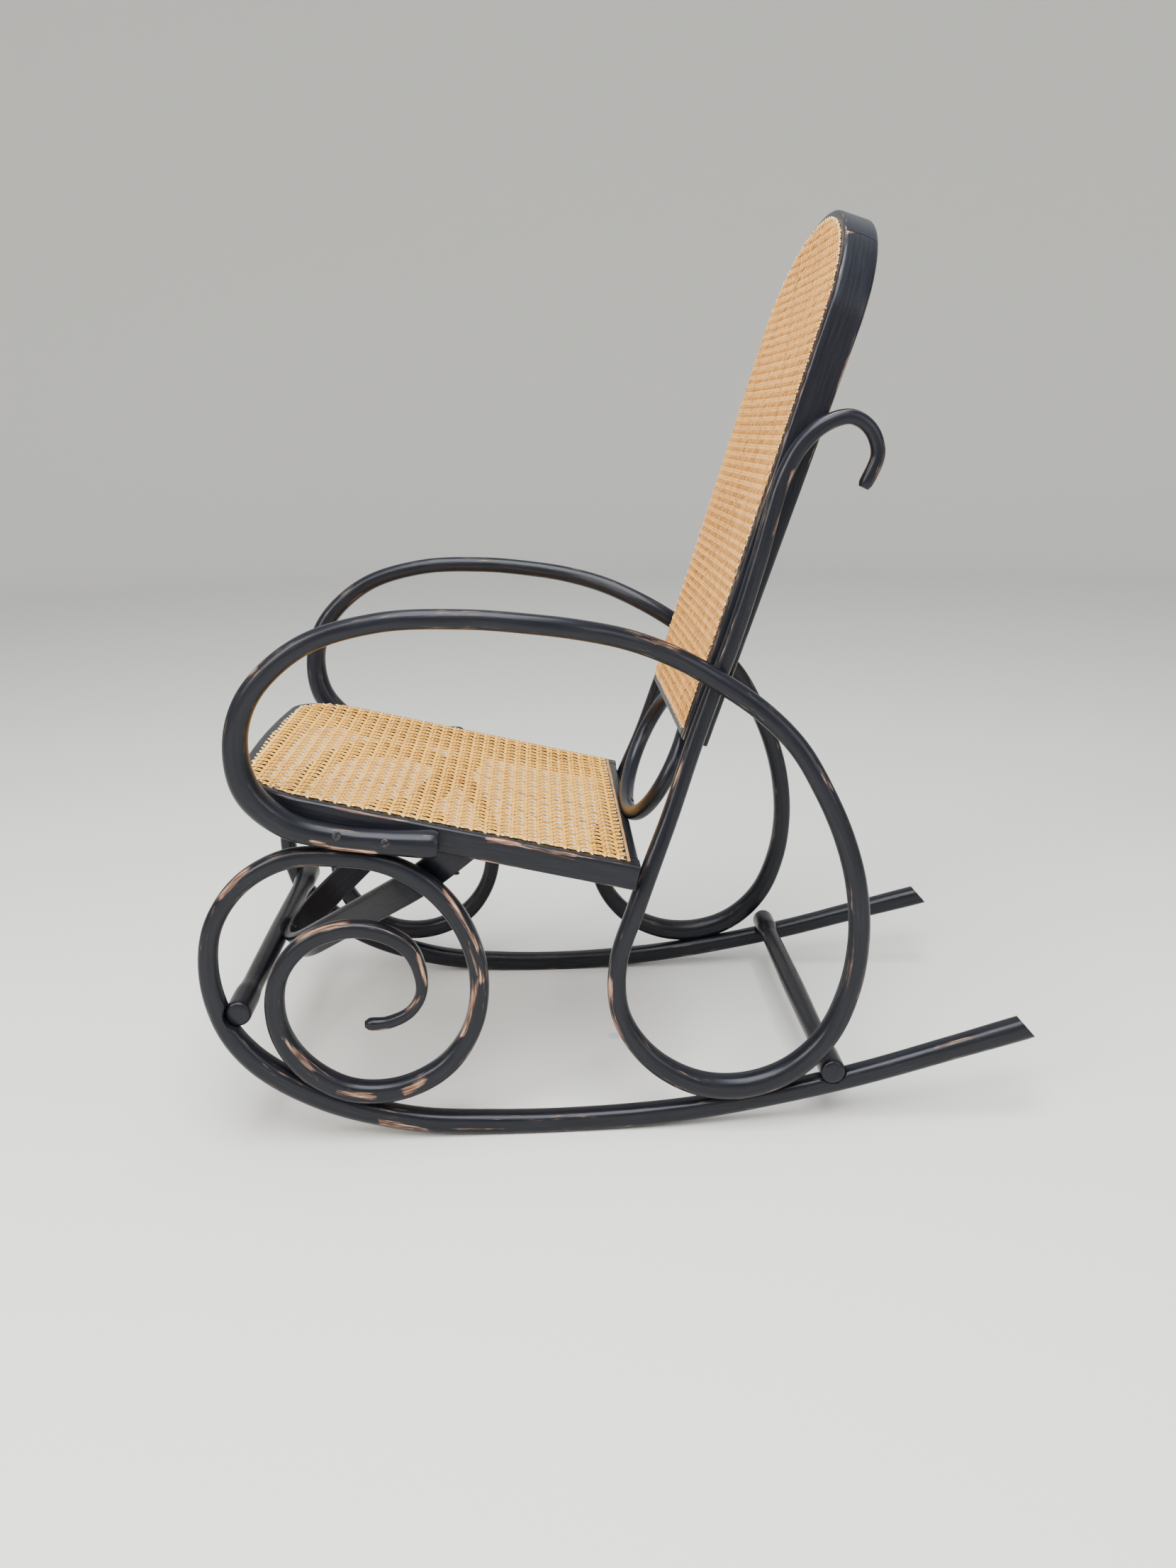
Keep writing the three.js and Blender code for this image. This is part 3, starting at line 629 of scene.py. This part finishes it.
def build_rockers():
    """The rocker and scroll, flat on the floor, saddled for the stretchers and cut off at the rear."""
    points = chamfered(ROCKER_SCROLL, last=3.5)
    count = len(even_steps(points, ROD_STEP))
    verts, faces, attributes = rod(points, rocker_squareness(count), seed=3)
    verts[:, 2] = np.maximum(verts[:, 2] - FLAT_DEPTH, 0)
    for y, z in (FRONT_STRETCHER, REAR_STRETCHER):
        verts = pushed_out(verts, verts * (1, 0, 0) + (0, y, z), STRETCHER_BED)
    verts[:, 2] = np.maximum(verts[:, 2], 0)
    for obj in pair("rocker_scroll", verts, faces, attributes):
        cut_end(obj, *ROCKER_CUT)
        sharpen(obj, 50)


def build_arms():
    """The arm, rear loop and post in one rod, notched over the rocker and flat along the seat."""
    verts, faces, attributes = rod(chamfered(ARM_POST), squareness=2.5, seed=5)
    verts = clear_of_rod(verts, even_steps(ROCKER_SCROLL[1:7], 2.0) - (0, 0, FLAT_DEPTH, 0))
    x, y, z = verts.T
    beside_seat = (y > -400) & (y < -180) & (z > 330) & (z < 450)
    verts[beside_seat, 0] = np.maximum(x[beside_seat], SEAT_HALF + GAP)
    pair("arm_post", verts, faces, attributes)


def ring_line(count=144):
    """The oval ring's rod, from its foot on the seat's rear rail round over its top."""
    turn = np.arange(count) * 2 * np.pi / count
    lift = (1 - np.cos(turn)) / 2
    return np.stack([
        RING_HALF * np.sin(turn),
        RING_LOW[0] + (RING_HIGH[0] - RING_LOW[0]) * lift,
        RING_LOW[1] + (RING_HIGH[1] - RING_LOW[1]) * lift,
        np.full(count, RING_ROD),
    ], 1)


def build_ring():
    across = np.cross((1, 0, 0), (0, RING_HIGH[0] - RING_LOW[0], RING_HIGH[1] - RING_LOW[1]))
    across = across / np.linalg.norm(across)
    verts, faces, attributes = rod(ring_line(), 2.1, across, closed=True)
    wooden("oval_ring", "bent", verts, faces, attributes, amount=0.12)


# -------------------- stretchers
# Half of each turned profile, as (radius, distance from the end).
FRONT_TURNING = [
    (11.5, 0), (14.4, 1.3), (15.5, 3.5), (15.8, 7), (15.8, 50), (15.3, 60), (13.8, 75), (13.2, 90),
    (13.6, 160), (14, 240),
]
REAR_TURNING = [
    (11, 0), (14, 1.3), (15.3, 3.5), (15.7, 7), (15.7, 48), (14, 60), (12.6, 75), (13.2, 130),
    (14.3, 240),
]
SHOULDER_AT, SHOULDER_SPREAD = 58, 14   # from an end to where the rod narrows, and over what length
BRACE_BEARING = 10.75       # from the front stretcher's axis to the brace
BRACE_FACING = (0.783, 0.623)


def scribed(verts, y, z):
    """Hollows the stretcher's middle where the bent brace bears on it."""
    facing = np.array((0, *BRACE_FACING))
    out = (verts - (0, y, z)) @ facing
    limit = BRACE_BEARING + verts[:, 0] ** 2 / (2 * BRACE_BEND + BRACE_THICK)
    return verts - np.maximum(out - limit, 0)[:, None] * facing


def stretcher(node_name, profile, axis, half, bearing=False):
    """A turned rod across the chair, worn most where its thick ends begin."""
    y, z = axis
    profile = np.array(profile + [(profile[-1][0], half)], float)
    steps = [0, 0.6, 1.3, 2.2, 3.5, 5, 7] + list(np.arange(10, half, 3.0)) + [half]
    radii = np.interp(steps, profile[:, 1], profile[:, 0])
    x = np.array(steps) - half
    x, radii = np.concatenate([x, -x[-2::-1]]), np.concatenate([radii, radii[-2::-1]])
    verts = lathed(radii, x, TURNED_SIDES)[..., [2, 0, 1]].reshape(-1, 3) + (0, y, z)
    if bearing:
        verts = scribed(verts, y, z)
    shoulder = np.exp(-((half - abs(x) - SHOULDER_AT) / SHOULDER_SPREAD) ** 2)
    attributes = {"grain": (verts - (0, y, z)) * MM, "ridge": np.repeat(shoulder, TURNED_SIDES)}
    wooden(node_name, "turned", verts, tube_faces(len(x), TURNED_SIDES), attributes, amount=0.1)


# -------------------- seat frame
def front_edge(x):
    """Y of the seat's bowed front."""
    flat = SEAT_HALF - SEAT_CORNER
    return SEAT_FRONT - SEAT_BOW * np.clip(1 - (x / flat) ** 2, 0, 1)


def seat_outline():
    """Outer edge of the hoop from its right end, round the front, to its left end."""
    flat = SEAT_HALF - SEAT_CORNER
    turn = np.linspace(0, np.pi / 2, 30)
    side = [(-SEAT_HALF, y) for y in np.linspace(SEAT_REAR, SEAT_FRONT + SEAT_CORNER, 60)[:-1]]
    corner = [
        (-flat - SEAT_CORNER * math.cos(t), SEAT_FRONT + SEAT_CORNER - SEAT_CORNER * math.sin(t))
        for t in turn
    ]
    front = [(x, front_edge(x)) for x in np.linspace(-flat, flat, 60)[1:-1]]
    half = side + corner
    return np.array(half + front + [(-x, y) for x, y in half[::-1]])


def seat_inset(x, y):
    """How far inside the seat's outer edge a point is."""
    flat = SEAT_HALF - SEAT_CORNER
    straight = np.minimum(SEAT_HALF - abs(x), y - front_edge(x))
    dx, dy = abs(x) - flat, SEAT_FRONT + SEAT_CORNER - y
    corner = SEAT_CORNER - np.hypot(dx, dy)
    return np.minimum(np.where((dx > 0) & (dy > 0), corner, straight), SEAT_REAR - y)


def build_seat_hoop():
    line = evened(seat_outline(), 5.0)
    section, ridge = rounded_section(SEAT_RAIL, SEAT_THICK, radius=4.0)
    verts, faces, attributes = sweep(line, left_of(line), section, ridge)
    wooden("seat_frame_hoop", "bent", seat_plane(verts), faces, attributes, amount=0.22, places=RAIL_WEAR)


def straight_rail(node_name, start, end, section, ridge, inward, place):
    """A rail between two points of a plane, hollowed where the oval ring rests against it."""
    line = evened(np.array([start, end]), 2.5)
    verts, faces, attributes = sweep(line, np.tile(inward, (len(line), 1)), section, ridge)
    verts = clear_of_rod(place(verts), ring_line(720))
    wooden(node_name, "wood", verts, [f[::-1] for f in faces], attributes)


def build_seat_rear_rail():
    half = SEAT_HALF - SEAT_RAIL - GAP
    straight_rail(
        "seat_rear_rail", (-half, SEAT_REAR), (half, SEAT_REAR),
        *rounded_section(SEAT_RAIL, SEAT_THICK, radius=3.0, gap=2.0), (0.0, -1.0), seat_plane,
    )


# -------------------- back frame
def back_outline():
    """Outer edge of the arch from its left end, over the top, to its right end."""
    t = np.linspace(0, 1, 80)[:, None]
    low = np.array([BACK_LOW_HALF, BACK_BOTTOM])
    bend = np.array([BACK_HALF, BACK_BOTTOM + 300])
    high = np.array([BACK_HALF, BACK_SHOULDER])
    side = (1 - t) ** 2 * low + 2 * t * (1 - t) * bend + t**2 * high
    turn = np.linspace(0, np.pi, 120)[1:-1]
    rise = BACK_TOP - BACK_SHOULDER
    top = np.stack([BACK_HALF * np.cos(turn), BACK_SHOULDER + rise * np.sin(turn)], 1)
    return np.concatenate([side, top, side[::-1] * (-1, 1)])


BACK_SIDE = back_outline()[:80]


def back_inset(x, s):
    """How far inside the back's outer edge a point is."""
    half = np.interp(s, BACK_SIDE[:, 1], BACK_SIDE[:, 0])
    straight = half - abs(x)
    rise = BACK_TOP - BACK_SHOULDER
    dx, ds = x / BACK_HALF, np.maximum(s - BACK_SHOULDER, 0) / rise
    far = np.maximum(np.hypot(dx, ds), 1e-6)
    slope = np.hypot(dx / BACK_HALF, ds / rise) / far
    arched = (1 - far) / np.maximum(slope, 1e-6)
    return np.minimum(np.where(s > BACK_SHOULDER, arched, straight), s - BACK_BOTTOM)


def back_place(verts):
    """From (x, up the lean, out of the front) to the chair."""
    verts = np.asarray(verts, float)
    return back_plane(np.stack([verts[:, 0], -verts[:, 2], verts[:, 1]], 1))


def with_split(line):
    """The arch's line with extra stations where its scarf joint has opened a little."""
    near = int(np.argmin(np.hypot(line[:, 0] - SPLIT_AT[0], line[:, 1] - SPLIT_AT[1])))
    run = (line[near + 1] - line[near]) / np.linalg.norm(line[near + 1] - line[near])
    extra = line[near] + np.array(SPLIT_STEPS)[:, None] * run
    joined = np.concatenate([line[:near - 1], extra, line[near + 2:]])
    return joined, near - 1 + SPLIT_STEPS.index(0.0)


def split_open(verts, line, section, opened):
    """A thin wandering crack across the outer face of the arch."""
    rings = verts.reshape(len(line), len(section), 3).copy()
    outer = section[:, 0] < 1.0
    normal = left_of(line)[opened]
    run = np.array([normal[1], -normal[0]])
    wave = SPLIT_WAVE * np.sin(section[:, 1] / 5.0) + SPLIT_SLANT * (section[:, 1] + BACK_DEPTH / 2)
    for number in range(opened - 2, opened + 3):
        rings[number, outer, :2] += run * wave[outer, None]
    rings[opened, outer, :2] += normal * SPLIT_DEPTH
    return rings.reshape(-1, 3)


def thinned_below(verts):
    """The arch gets less deep from its shoulders down to its lower ends."""
    share = (verts[:, 1] - BACK_BOTTOM) / (BACK_SHOULDER - BACK_BOTTOM)
    verts[:, 2] *= BACK_FOOT_SHARE + (1 - BACK_FOOT_SHARE) * np.clip(share, 0, 1)
    return verts


def build_back_arch():
    line = evened(back_outline(), 5.0)
    section, ridge = rounded_section(BACK_RAIL, BACK_DEPTH, radius=4.5)
    line, opened = with_split(line)
    verts, faces, attributes = sweep(line, left_of(line), section, ridge)
    verts = back_place(thinned_below(split_open(verts, line, section, opened)))
    wooden("back_frame_arch", "bent", verts, faces, attributes, amount=0.26, places=ARCH_WEAR)


def build_back_bottom_rail():
    half = BACK_LOW_HALF - BACK_RAIL - GAP
    straight_rail(
        "back_bottom_rail", (half, BACK_BOTTOM), (-half, BACK_BOTTOM),
        *rounded_section(BOTTOM_RAIL, BOTTOM_THICK, radius=2.0, gap=2.0), (0.0, 1.0), back_place,
    )


# -------------------- brace under the seat
def brace_line():
    """Middle of the bent strip, from its right end round the front to its left end."""
    end_bend, end_x = 150.0, 240.0
    spread = math.radians(34.3)
    front = [
        (BRACE_BEND * math.cos(a), BRACE_BEND / math.sin(spread) + BRACE_BEND * math.sin(a))
        for a in np.linspace(-math.pi / 2, -spread, 30)
    ]
    turn_x = end_x - end_bend
    turn_y = (turn_x + end_bend * math.cos(spread)) / math.tan(spread)
    turn_y += end_bend * math.sin(spread)
    end = [
        (turn_x + end_bend * math.cos(a), turn_y + end_bend * math.sin(a))
        for a in np.linspace(-spread, 0, 20)
    ]
    half = front + end + [(end_x, turn_y + 60)]
    return np.array([(-x, y) for x, y in half[:0:-1]] + half)


def build_brace():
    line = evened(brace_line(), 4.0)
    section, ridge = rounded_section(BRACE_THICK, BRACE_WIDTH, radius=3.0, gap=4.0)
    section += (-BRACE_THICK / 2, BRACE_WIDTH / 2)
    verts, faces, attributes = sweep(line, left_of(line), section, ridge)
    obj = wooden("seat_brace", "bent", brace_plane(verts), faces, attributes)
    under = seat_plane([(0, 0, -SEAT_THICK - GAP), (0, 0, 0)])
    cut_end(obj, under[0], under[1] - under[0])


# -------------------- screws and bolts
# The left side's heads: where each one sits, the way it faces and how far its slot is turned.
SIDE_SCREWS = {
    "arm_screw_front": ((283.6, -326, 393), (1, 0, 0), 65),
    "arm_screw_rear": ((283.8, -272, 383), (1, 0, 0), 20),
    "scroll_top_screw": ((262.5, -333, 350.2), (-0.1, 0, -1), 10),
    "scroll_foot_screw": ((255.6, -305, 21.6), (-0.24, -0.3, -0.92), 75),
    "loop_foot_screw": ((246.6, 112.3, 14.2), (-0.308, 0.13, -0.94), 30),
    "crossing_screw": ((179.2, 112, 549.5), (-1, 0, 0), 50),
    "post_screw_upper": ((184.7, 176.8, 752), (-1, 0, 0), 80),
    "post_screw_lower": ((181.1, 134.3, 608), (-1, 0, 0), 15),
    "seat_bolt": ((232.5, 37.6, 320.1), (0, 0.973, -0.23), 0),
    "front_stretcher_screw": ((260, -489.2, 169.6), (0, -1, 0.05), 40),
    "rear_stretcher_screw": ((247.6, 254, 38.9), (0, 0.2, -1), 70),
    "brace_screw_rear": ((240, -198, 330.9), (0, -0.23, -0.973), 25),
}
MIDDLE_SCREWS = {
    "brace_screw_front": ((0, -438.4, 180.8), (0, 0.783, 0.623), 55),
    "ring_screw_bottom": ((0, 24.8, 347), (0, 0.5, 0.866), 15),
    "ring_screw_top": ((0, 108.9, 489.6), (0, 0.951, -0.311), 60),
}
HEAD, DOME = 5.4, 1.6       # radius and height of a head
SLOT, SLOT_FLOOR = 0.55, 0.2    # half the slot's width, and the height of its floor
RIM = 0.9                   # how deep a head's flat edge sits in the wood
SHANK, SHANK_LENGTH = 2.2, 12.0
RIGHT_TURN = 35             # degrees that a right slot is turned past the left one's mirror image


def head_height(away):
    """Height of the domed head at a distance from its middle."""
    edge = np.clip(away / HEAD, 0, 1)
    return DOME * np.sqrt(np.clip(1 - edge**2.6, 0, 1))


def screw_shape(slotted=True):
    """A domed head facing +Z with a slot cut along X, on a short shank."""
    dome = np.concatenate([[0.001], np.linspace(0.6, HEAD - 0.5, 12), [HEAD - 0.25, HEAD - 0.08, HEAD]])
    radii = np.concatenate([dome, [HEAD, SHANK, SHANK, 0.001]])
    heights = np.concatenate([head_height(dome), [-RIM, -RIM, -SHANK_LENGTH, -SHANK_LENGTH]])
    verts = lathed(radii, heights, SCREW_SIDES)
    if slotted:
        top = verts[:len(dome)]
        near = abs(top[..., 1])
        wall = (near > SLOT * 0.6) & (near < SLOT * 1.6)
        top[near < SLOT * 1.1, 2] = SLOT_FLOOR
        top[wall, 1] = np.where(top[wall, 1] < 0, -SLOT, SLOT)
    return verts.reshape(-1, 3), ring_faces(len(radii), SCREW_SIDES)


def build_screw(node_name, at, facing, turned, slotted=True):
    """A screw's head where its hole is, facing out of the wood."""
    facing = Vector(facing).normalized()
    spin = Matrix.Rotation(math.radians(turned), 3, "Z")
    aim = facing.to_track_quat("Z", "Y").to_matrix() @ spin
    verts, faces = screw_shape(slotted)
    verts = verts @ np.array(aim).T + np.array(at)
    obj = make_mesh(node_name + "_head", verts, faces, SCREW, [node_name])
    sharpen(obj, 40)


def build_screws():
    for name, (at, facing, turned) in SIDE_SCREWS.items():
        slotted = name != "seat_bolt"
        build_screw(f"{name}_left", at, facing, turned, slotted)
        at, facing = (-at[0], at[1], at[2]), (-facing[0], facing[1], facing[2])
        build_screw(f"{name}_right", at, facing, -turned - RIGHT_TURN, slotted)
    for name, (at, facing, turned) in MIDDLE_SCREWS.items():
        build_screw(name, at, facing, turned)


# -------------------- woven cane
# A strand's flat section with its rounded top, as shares of its width and thickness.
STRAND_SECTION = np.array([(-0.5, -0.15), (-0.28, 0.5), (0.28, 0.5), (0.5, -0.15), (0, -0.5)])
TIP_SPREAD = 0.7            # how unevenly the tips are cut
SHORT_SHARE, SHORT_BY = 0.12, 2.5   # how many tips are cut short, and by how much
MOST_TRIANGLES = 150000     # in one piece


class Weave:
    """Six-way cane: pairs up and across, and two diagonals that leave eight-sided holes."""

    def __init__(self, pitch, width, offset, thickness, ragged, inset, edge, surface, place, box):
        self.pitch, self.width, self.offset, self.ragged = pitch, width, offset, ragged
        self.thickness, self.inset, self.edge = thickness, inset, edge
        self.surface, self.place, self.box = surface, place, box
        self.lift = thickness * 0.62
        self.middle = np.mean(box, 1)

    def wave(self, distance):
        """Height over and under the two strands of a pair, at a distance from the pair's middle."""
        near = (distance + self.pitch / 2) % self.pitch - self.pitch / 2
        reach = 2 * self.offset
        return np.where(abs(near) < reach, self.lift * np.sin(np.pi * near / reach), 0.0)

    def pair_height(self, begin, sign):
        """Over one strand of each pair it crosses and under the other."""
        return lambda t: sign * self.wave(begin + t)

    def diagonal_height(self, begin, rise):
        """Over one direction's pairs and under the other's."""
        pace = 2 * np.pi / self.pitch
        return lambda t: rise * self.thickness * 1.05 * np.cos(pace * (begin + t / math.sqrt(2)))

    def pair_lines(self, along):
        """The pairs along X or Y, as 0 or 1: each line's start, direction, length and height."""
        low, high = self.box[along]
        width = self.box[1 - along][1] - self.box[1 - along][0]
        count = int(width / self.pitch / 2) + 2
        for number in range(-count, count + 1):
            for side in (-1, 1):
                start = np.full(2, low - 5.0)
                start[1 - along] = self.middle[1 - along] + number * self.pitch + side * self.offset
                height = self.pair_height(low - 5.0 - self.middle[along], side if along else -side)
                yield start, np.eye(2)[along], high - low + 10, height

    def diagonal_lines(self, rise):
        """The single strands at 45 degrees, rising or falling."""
        (x0, x1), (y0, y1) = self.box
        reach = (x1 - x0 + y1 - y0) / 2 + 10
        run = np.array([1.0, rise]) / math.sqrt(2)
        count = int(reach / self.pitch) + 2
        for number in range(-count, count + 1):
            start = self.middle + (0, (number + 0.5) * self.pitch) - run * reach * math.sqrt(2)
            height = self.diagonal_height(start[0] - self.middle[0], rise)
            yield start, run, reach * 2 * math.sqrt(2), height

    def ends(self, start, run, length):
        """The stretch of a line that lies within the outline, with its tips cut unevenly."""
        t = np.arange(0, length, 0.5)
        points = start + t[:, None] * run
        kept = np.nonzero(self.inset(points[:, 0], points[:, 1]) > self.edge)[0]
        if len(kept) < 12:
            return None
        longer = rng.normal(0, TIP_SPREAD, 2) - np.where(rng.random(2) < SHORT_SHARE, SHORT_BY, 0)
        longer = longer * self.ragged
        return t[kept[0]] - longer[0], t[kept[-1]] + longer[1]

    def strand(self, start, run, span, height, kind):
        """Points, faces, tips, grain and depth below its neighbours of one strand, the depth for painted
        shade.
        """
        samples = max(int((span[1] - span[0]) / (self.pitch / 8)), 2)
        t = np.linspace(span[0], span[1], samples + 1)
        sway = 0.12 * np.sin(t / self.pitch * 0.9 + rng.uniform(0, 6.3)) + rng.normal(0, 0.07)
        across = np.array([-run[1], run[0]])
        centre = start + t[:, None] * run + across * sway[:, None]
        inset = self.inset(centre[:, 0], centre[:, 1])
        z = self.surface(inset, centre[:, 0], centre[:, 1]) + height(t)
        loose = np.exp(-np.minimum(t - span[0], span[1] - t) / 2.0)
        z += loose * rng.uniform(0.0, 0.7) * self.ragged
        width = self.width * (1 + rng.normal(0, 0.04))
        sides = len(STRAND_SECTION)
        verts = np.zeros((len(t), sides, 3))
        verts[..., :2] = centre[:, None] + across * (STRAND_SECTION[:, 0] * width)[None, :, None]
        verts[..., 2] = z[:, None] + STRAND_SECTION[:, 1] * self.thickness
        # painted shade: how far each point lies below the strands it dips under, which darkens its colour
        painted_shade_depth = -(height(t)[:, None] / self.thickness + STRAND_SECTION[:, 1]).reshape(-1)
        grain = np.zeros((len(t), sides, 3))
        grain[..., 0] = t[:, None]
        grain[..., 1] = STRAND_SECTION[:, 0] * width + rng.uniform(0, 900)
        grain[..., 2] = kind * 50
        tips = np.repeat(loose, sides)
        faces = ring_faces(len(t), sides)
        return verts.reshape(-1, 3), faces, tips, grain.reshape(-1, 3) * MM, painted_shade_depth

    def build(self, name, material, panel):
        """All the strands of the weave, in pieces of a limited size."""
        kinds = {
            "across": self.pair_lines(0), "lengthwise": self.pair_lines(1),
            "diagonal": self.diagonal_lines(1), "counter": self.diagonal_lines(-1),
        }
        for kind, (word, lines) in enumerate(kinds.items()):
            strands, number, count = [], 1, 0
            for start, run, length, height in lines:
                span = self.ends(start, run, length)
                if span is None:
                    continue
                strands.append(self.strand(start, run, span, height, kind))
                count += len(strands[-1][1]) * 2
                if count > MOST_TRIANGLES:
                    self.piece(f"{name}_{word}_{number}", strands, material, panel)
                    strands, number, count = [], number + 1, 0
            if strands:
                self.piece(f"{name}_{word}_{number}", strands, material, panel)

    def piece(self, name, strands, material, panel):
        """One mesh of many strands, each of its own tone, with painted shade darkening it where it dips
        under others.
        """
        points, quads, tips, grains, painted_shade_depths = zip(*strands)
        starts = np.cumsum([0] + [len(p) for p in points])
        caps, tones_and_shade, sides = [], [], len(STRAND_SECTION)
        for start, end, painted_shade_dip in zip(starts, starts[1:], painted_shade_depths):
            caps += [list(range(start, start + sides))[::-1], list(range(end - sides, end))]
            # painted shade: each strand's random tone darkened where it dips under other strands
            tones_and_shade.append(np.clip(rng.normal(0.38, 0.15), 0, 1) - 0.28 * painted_shade_dip)
        faces = np.concatenate([q + start for q, start in zip(quads, starts)]).tolist() + caps
        attributes = {
            "tip": np.concatenate(tips), "grain": np.concatenate(grains),
            "tone_and_shade": np.concatenate(tones_and_shade),
        }
        verts = self.place(np.concatenate(points))
        make_mesh(name, verts, faces, material, [panel], attributes)


def seat_surface(inset, x, y):
    """Height of the seat's cane over its rail and sagging within it."""
    sag = SEAT_SAG * (1 - np.exp(-np.maximum(inset - SEAT_RAIL, 0) / 70))
    return 0.9 - sag + 0.25 * np.sin(x / 37) * np.sin(y / 29)


def seat_edge(x, y):
    """The seat's inset, moved in at the rear so that the cane stops short of the rail."""
    return np.minimum(seat_inset(x, y), SEAT_REAR - SEAT_SPLINE - y + SEAT_CANE_EDGE)


def back_surface(inset, x, s):
    """Height of the back's cane over its frame, hollow within it."""
    hollow = BACK_HOLLOW * (1 - np.exp(-np.maximum(inset - BACK_RAIL, 0) / 60))
    return 1.3 - hollow + 0.2 * np.sin(x / 31) * np.sin(s / 41)


def build_cane():
    seat = Weave(
        SEAT_PITCH, width=3.5, offset=2.35, thickness=1.0, ragged=1.0, inset=seat_edge,
        edge=SEAT_CANE_EDGE, surface=seat_surface, place=seat_plane, box=((-246, 246), (-462, 8)),
    )
    seat.build("seat_cane", SEAT_CANE, "seat_cane_panel")
    back = Weave(
        BACK_PITCH, width=2.35, offset=1.65, thickness=0.8, ragged=0.5, inset=back_inset,
        edge=BACK_CANE_EDGE, surface=back_surface, place=back_place, box=((-198, 198), (508, 1118)),
    )
    back.build("back_cane", BACK_CANE, "back_cane_panel")


# -------------------- reed splines
def lay_spline(name, line, place, replaces, width, low, high):
    """A reed with a round top, laid along a line of a plane from a low to a high height."""
    turn = np.linspace(0, np.pi, 9)
    top = np.stack([width / 2 * np.cos(turn), high - width / 2 + width / 2 * np.sin(turn)], 1)
    section = np.concatenate([top, [(-width / 2, low), (width / 2, low)]])
    line = evened(line, 5.0)
    verts, faces, attributes = sweep(line, left_of(line), section, np.zeros(len(section)))
    make_mesh(name, place(verts), faces, REED, replaces, attributes)


def build_splines():
    line = seat_outline()
    line = line + left_of(line) * SEAT_SPLINE
    line = line[line[:, 1] < SEAT_REAR - 15.0]
    lay_spline("seat_spline_front", line, seat_plane, ["seat_cane_spline"], width=4.2, low=-4.5, high=0.8)
    rear = np.array([(-243.0, SEAT_REAR - REAR_SPLINE), (243.0, SEAT_REAR - REAR_SPLINE)])
    lay_spline("seat_spline_rear", rear, seat_plane, [], width=3.6, low=-4.5, high=2.2)
    line = back_outline()
    line = line + left_of(line) * BACK_SPLINE
    line = line[line[:, 1] > BACK_BOTTOM + SPLINE_START]
    lay_spline("back_spline_bent", line, back_place, ["back_cane_spline"], width=3.4, low=-3.5, high=0.6)


# -------------------- floor, light and camera
def build_stage():
    """A round pale floor that curves up into a plain wall, the same from every side."""
    material, _, shader = new_material("studio_floor", (0.74, 0.72, 0.67), 0.85)
    shader.inputs["Specular IOR Level"].default_value = 0.2
    rise = np.linspace(0, np.pi / 2, 24)
    radius = np.concatenate([[0.01, 1, 3], 6 + 2 * np.sin(rise), [8.0]])
    height = np.concatenate([[0, 0, 0], 2 - 2 * np.cos(rise), [4.6]])
    verts = lathed(radius, height, FLOOR_SIDES).reshape(-1, 3)
    new_object("studio_floor", verts, ring_faces(len(radius), FLOOR_SIDES), material)


def soft_light(name, place, aim, size, power, colour=(1, 1, 1)):
    """A rectangular panel of light, in metres and watts."""
    data = bpy.data.lights.new(name, "AREA")
    data.shape = "RECTANGLE"
    data.size, data.size_y = size
    data.energy = power
    data.color = colour
    light = bpy.data.objects.new(name, data)
    light.location = place
    light.rotation_euler = (Vector(aim) - Vector(place)).to_track_quat("-Z", "Y").to_euler()
    bpy.context.scene.collection.objects.link(light)


def build_light():
    soft_light("sky_panel", (1.2, -0.2, 3.2), (0, 0, 0.4), (1.8, 3.6), 270, (0.92, 0.96, 1.0))
    soft_light("window_panel", (2.6, -2.6, 2.2), (0, 0, 0.5), (1.0, 2.0), 120, (1.0, 0.97, 0.93))
    soft_light("fill_panel", (2.8, 2.4, 1.6), (0, 0, 0.5), (1.6, 1.6), 34)
    world = bpy.data.worlds.new("studio_air")
    world.use_nodes = True
    world.node_tree.nodes["Background"].inputs["Color"].default_value = (0.82, 0.86, 0.92, 1)
    world.node_tree.nodes["Background"].inputs["Strength"].default_value = 0.8
    bpy.context.scene.world = world


# The photo's view: beside the chair and a little above it, looking down by 15 degrees.
CAMERA_PLACE = (1.718, -0.092, 0.835)
CAMERA_PITCH, CAMERA_ROLL, CAMERA_HEADING = 15.15, 0.91, 1.99
CAMERA_LENS = 30.48


def build_camera():
    pitch, roll, heading = map(math.radians, (CAMERA_PITCH, CAMERA_ROLL, CAMERA_HEADING))
    level = Vector((-math.cos(heading), math.sin(heading), 0))
    right = Vector((math.sin(heading), math.cos(heading), 0))
    up = level * math.sin(pitch) + Vector((0, 0, math.cos(pitch)))
    across = right * math.cos(roll) - up * math.sin(roll)
    upright = up * math.cos(roll) + right * math.sin(roll)
    back = across.cross(upright)
    data = bpy.data.cameras.new("photo_camera")
    data.sensor_width = 36.0
    data.lens = CAMERA_LENS
    camera = bpy.data.objects.new("photo_camera", data)
    axes = Matrix((across, upright, back)).transposed().to_4x4()
    camera.matrix_world = Matrix.Translation(CAMERA_PLACE) @ axes
    bpy.context.scene.collection.objects.link(camera)
    bpy.context.scene.camera = camera


# -------------------- the chair
def plain_cad_materials():
    """Nodes that stay as the CAD made them get the same procedural materials."""
    kinds = {
        "cane_panel": SEAT_CANE, "spline": REED, "dowel": REED, "screw": SCREW, "bolt": SCREW, "": WOOD,
    }
    for name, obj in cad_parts.items():
        obj.data.materials.clear()
        obj.data.materials.append(next(kinds[word] for word in kinds if word in name))


build_rockers()
build_arms()
build_ring()
stretcher("front_stretcher", FRONT_TURNING, FRONT_STRETCHER, 264, bearing=True)
stretcher("rear_stretcher", REAR_TURNING, REAR_STRETCHER, 263)
build_seat_hoop()
build_seat_rear_rail()
build_back_arch()
build_back_bottom_rail()
build_brace()
build_screws()
build_cane()
build_splines()
plain_cad_materials()
build_stage()
build_light()
build_camera()
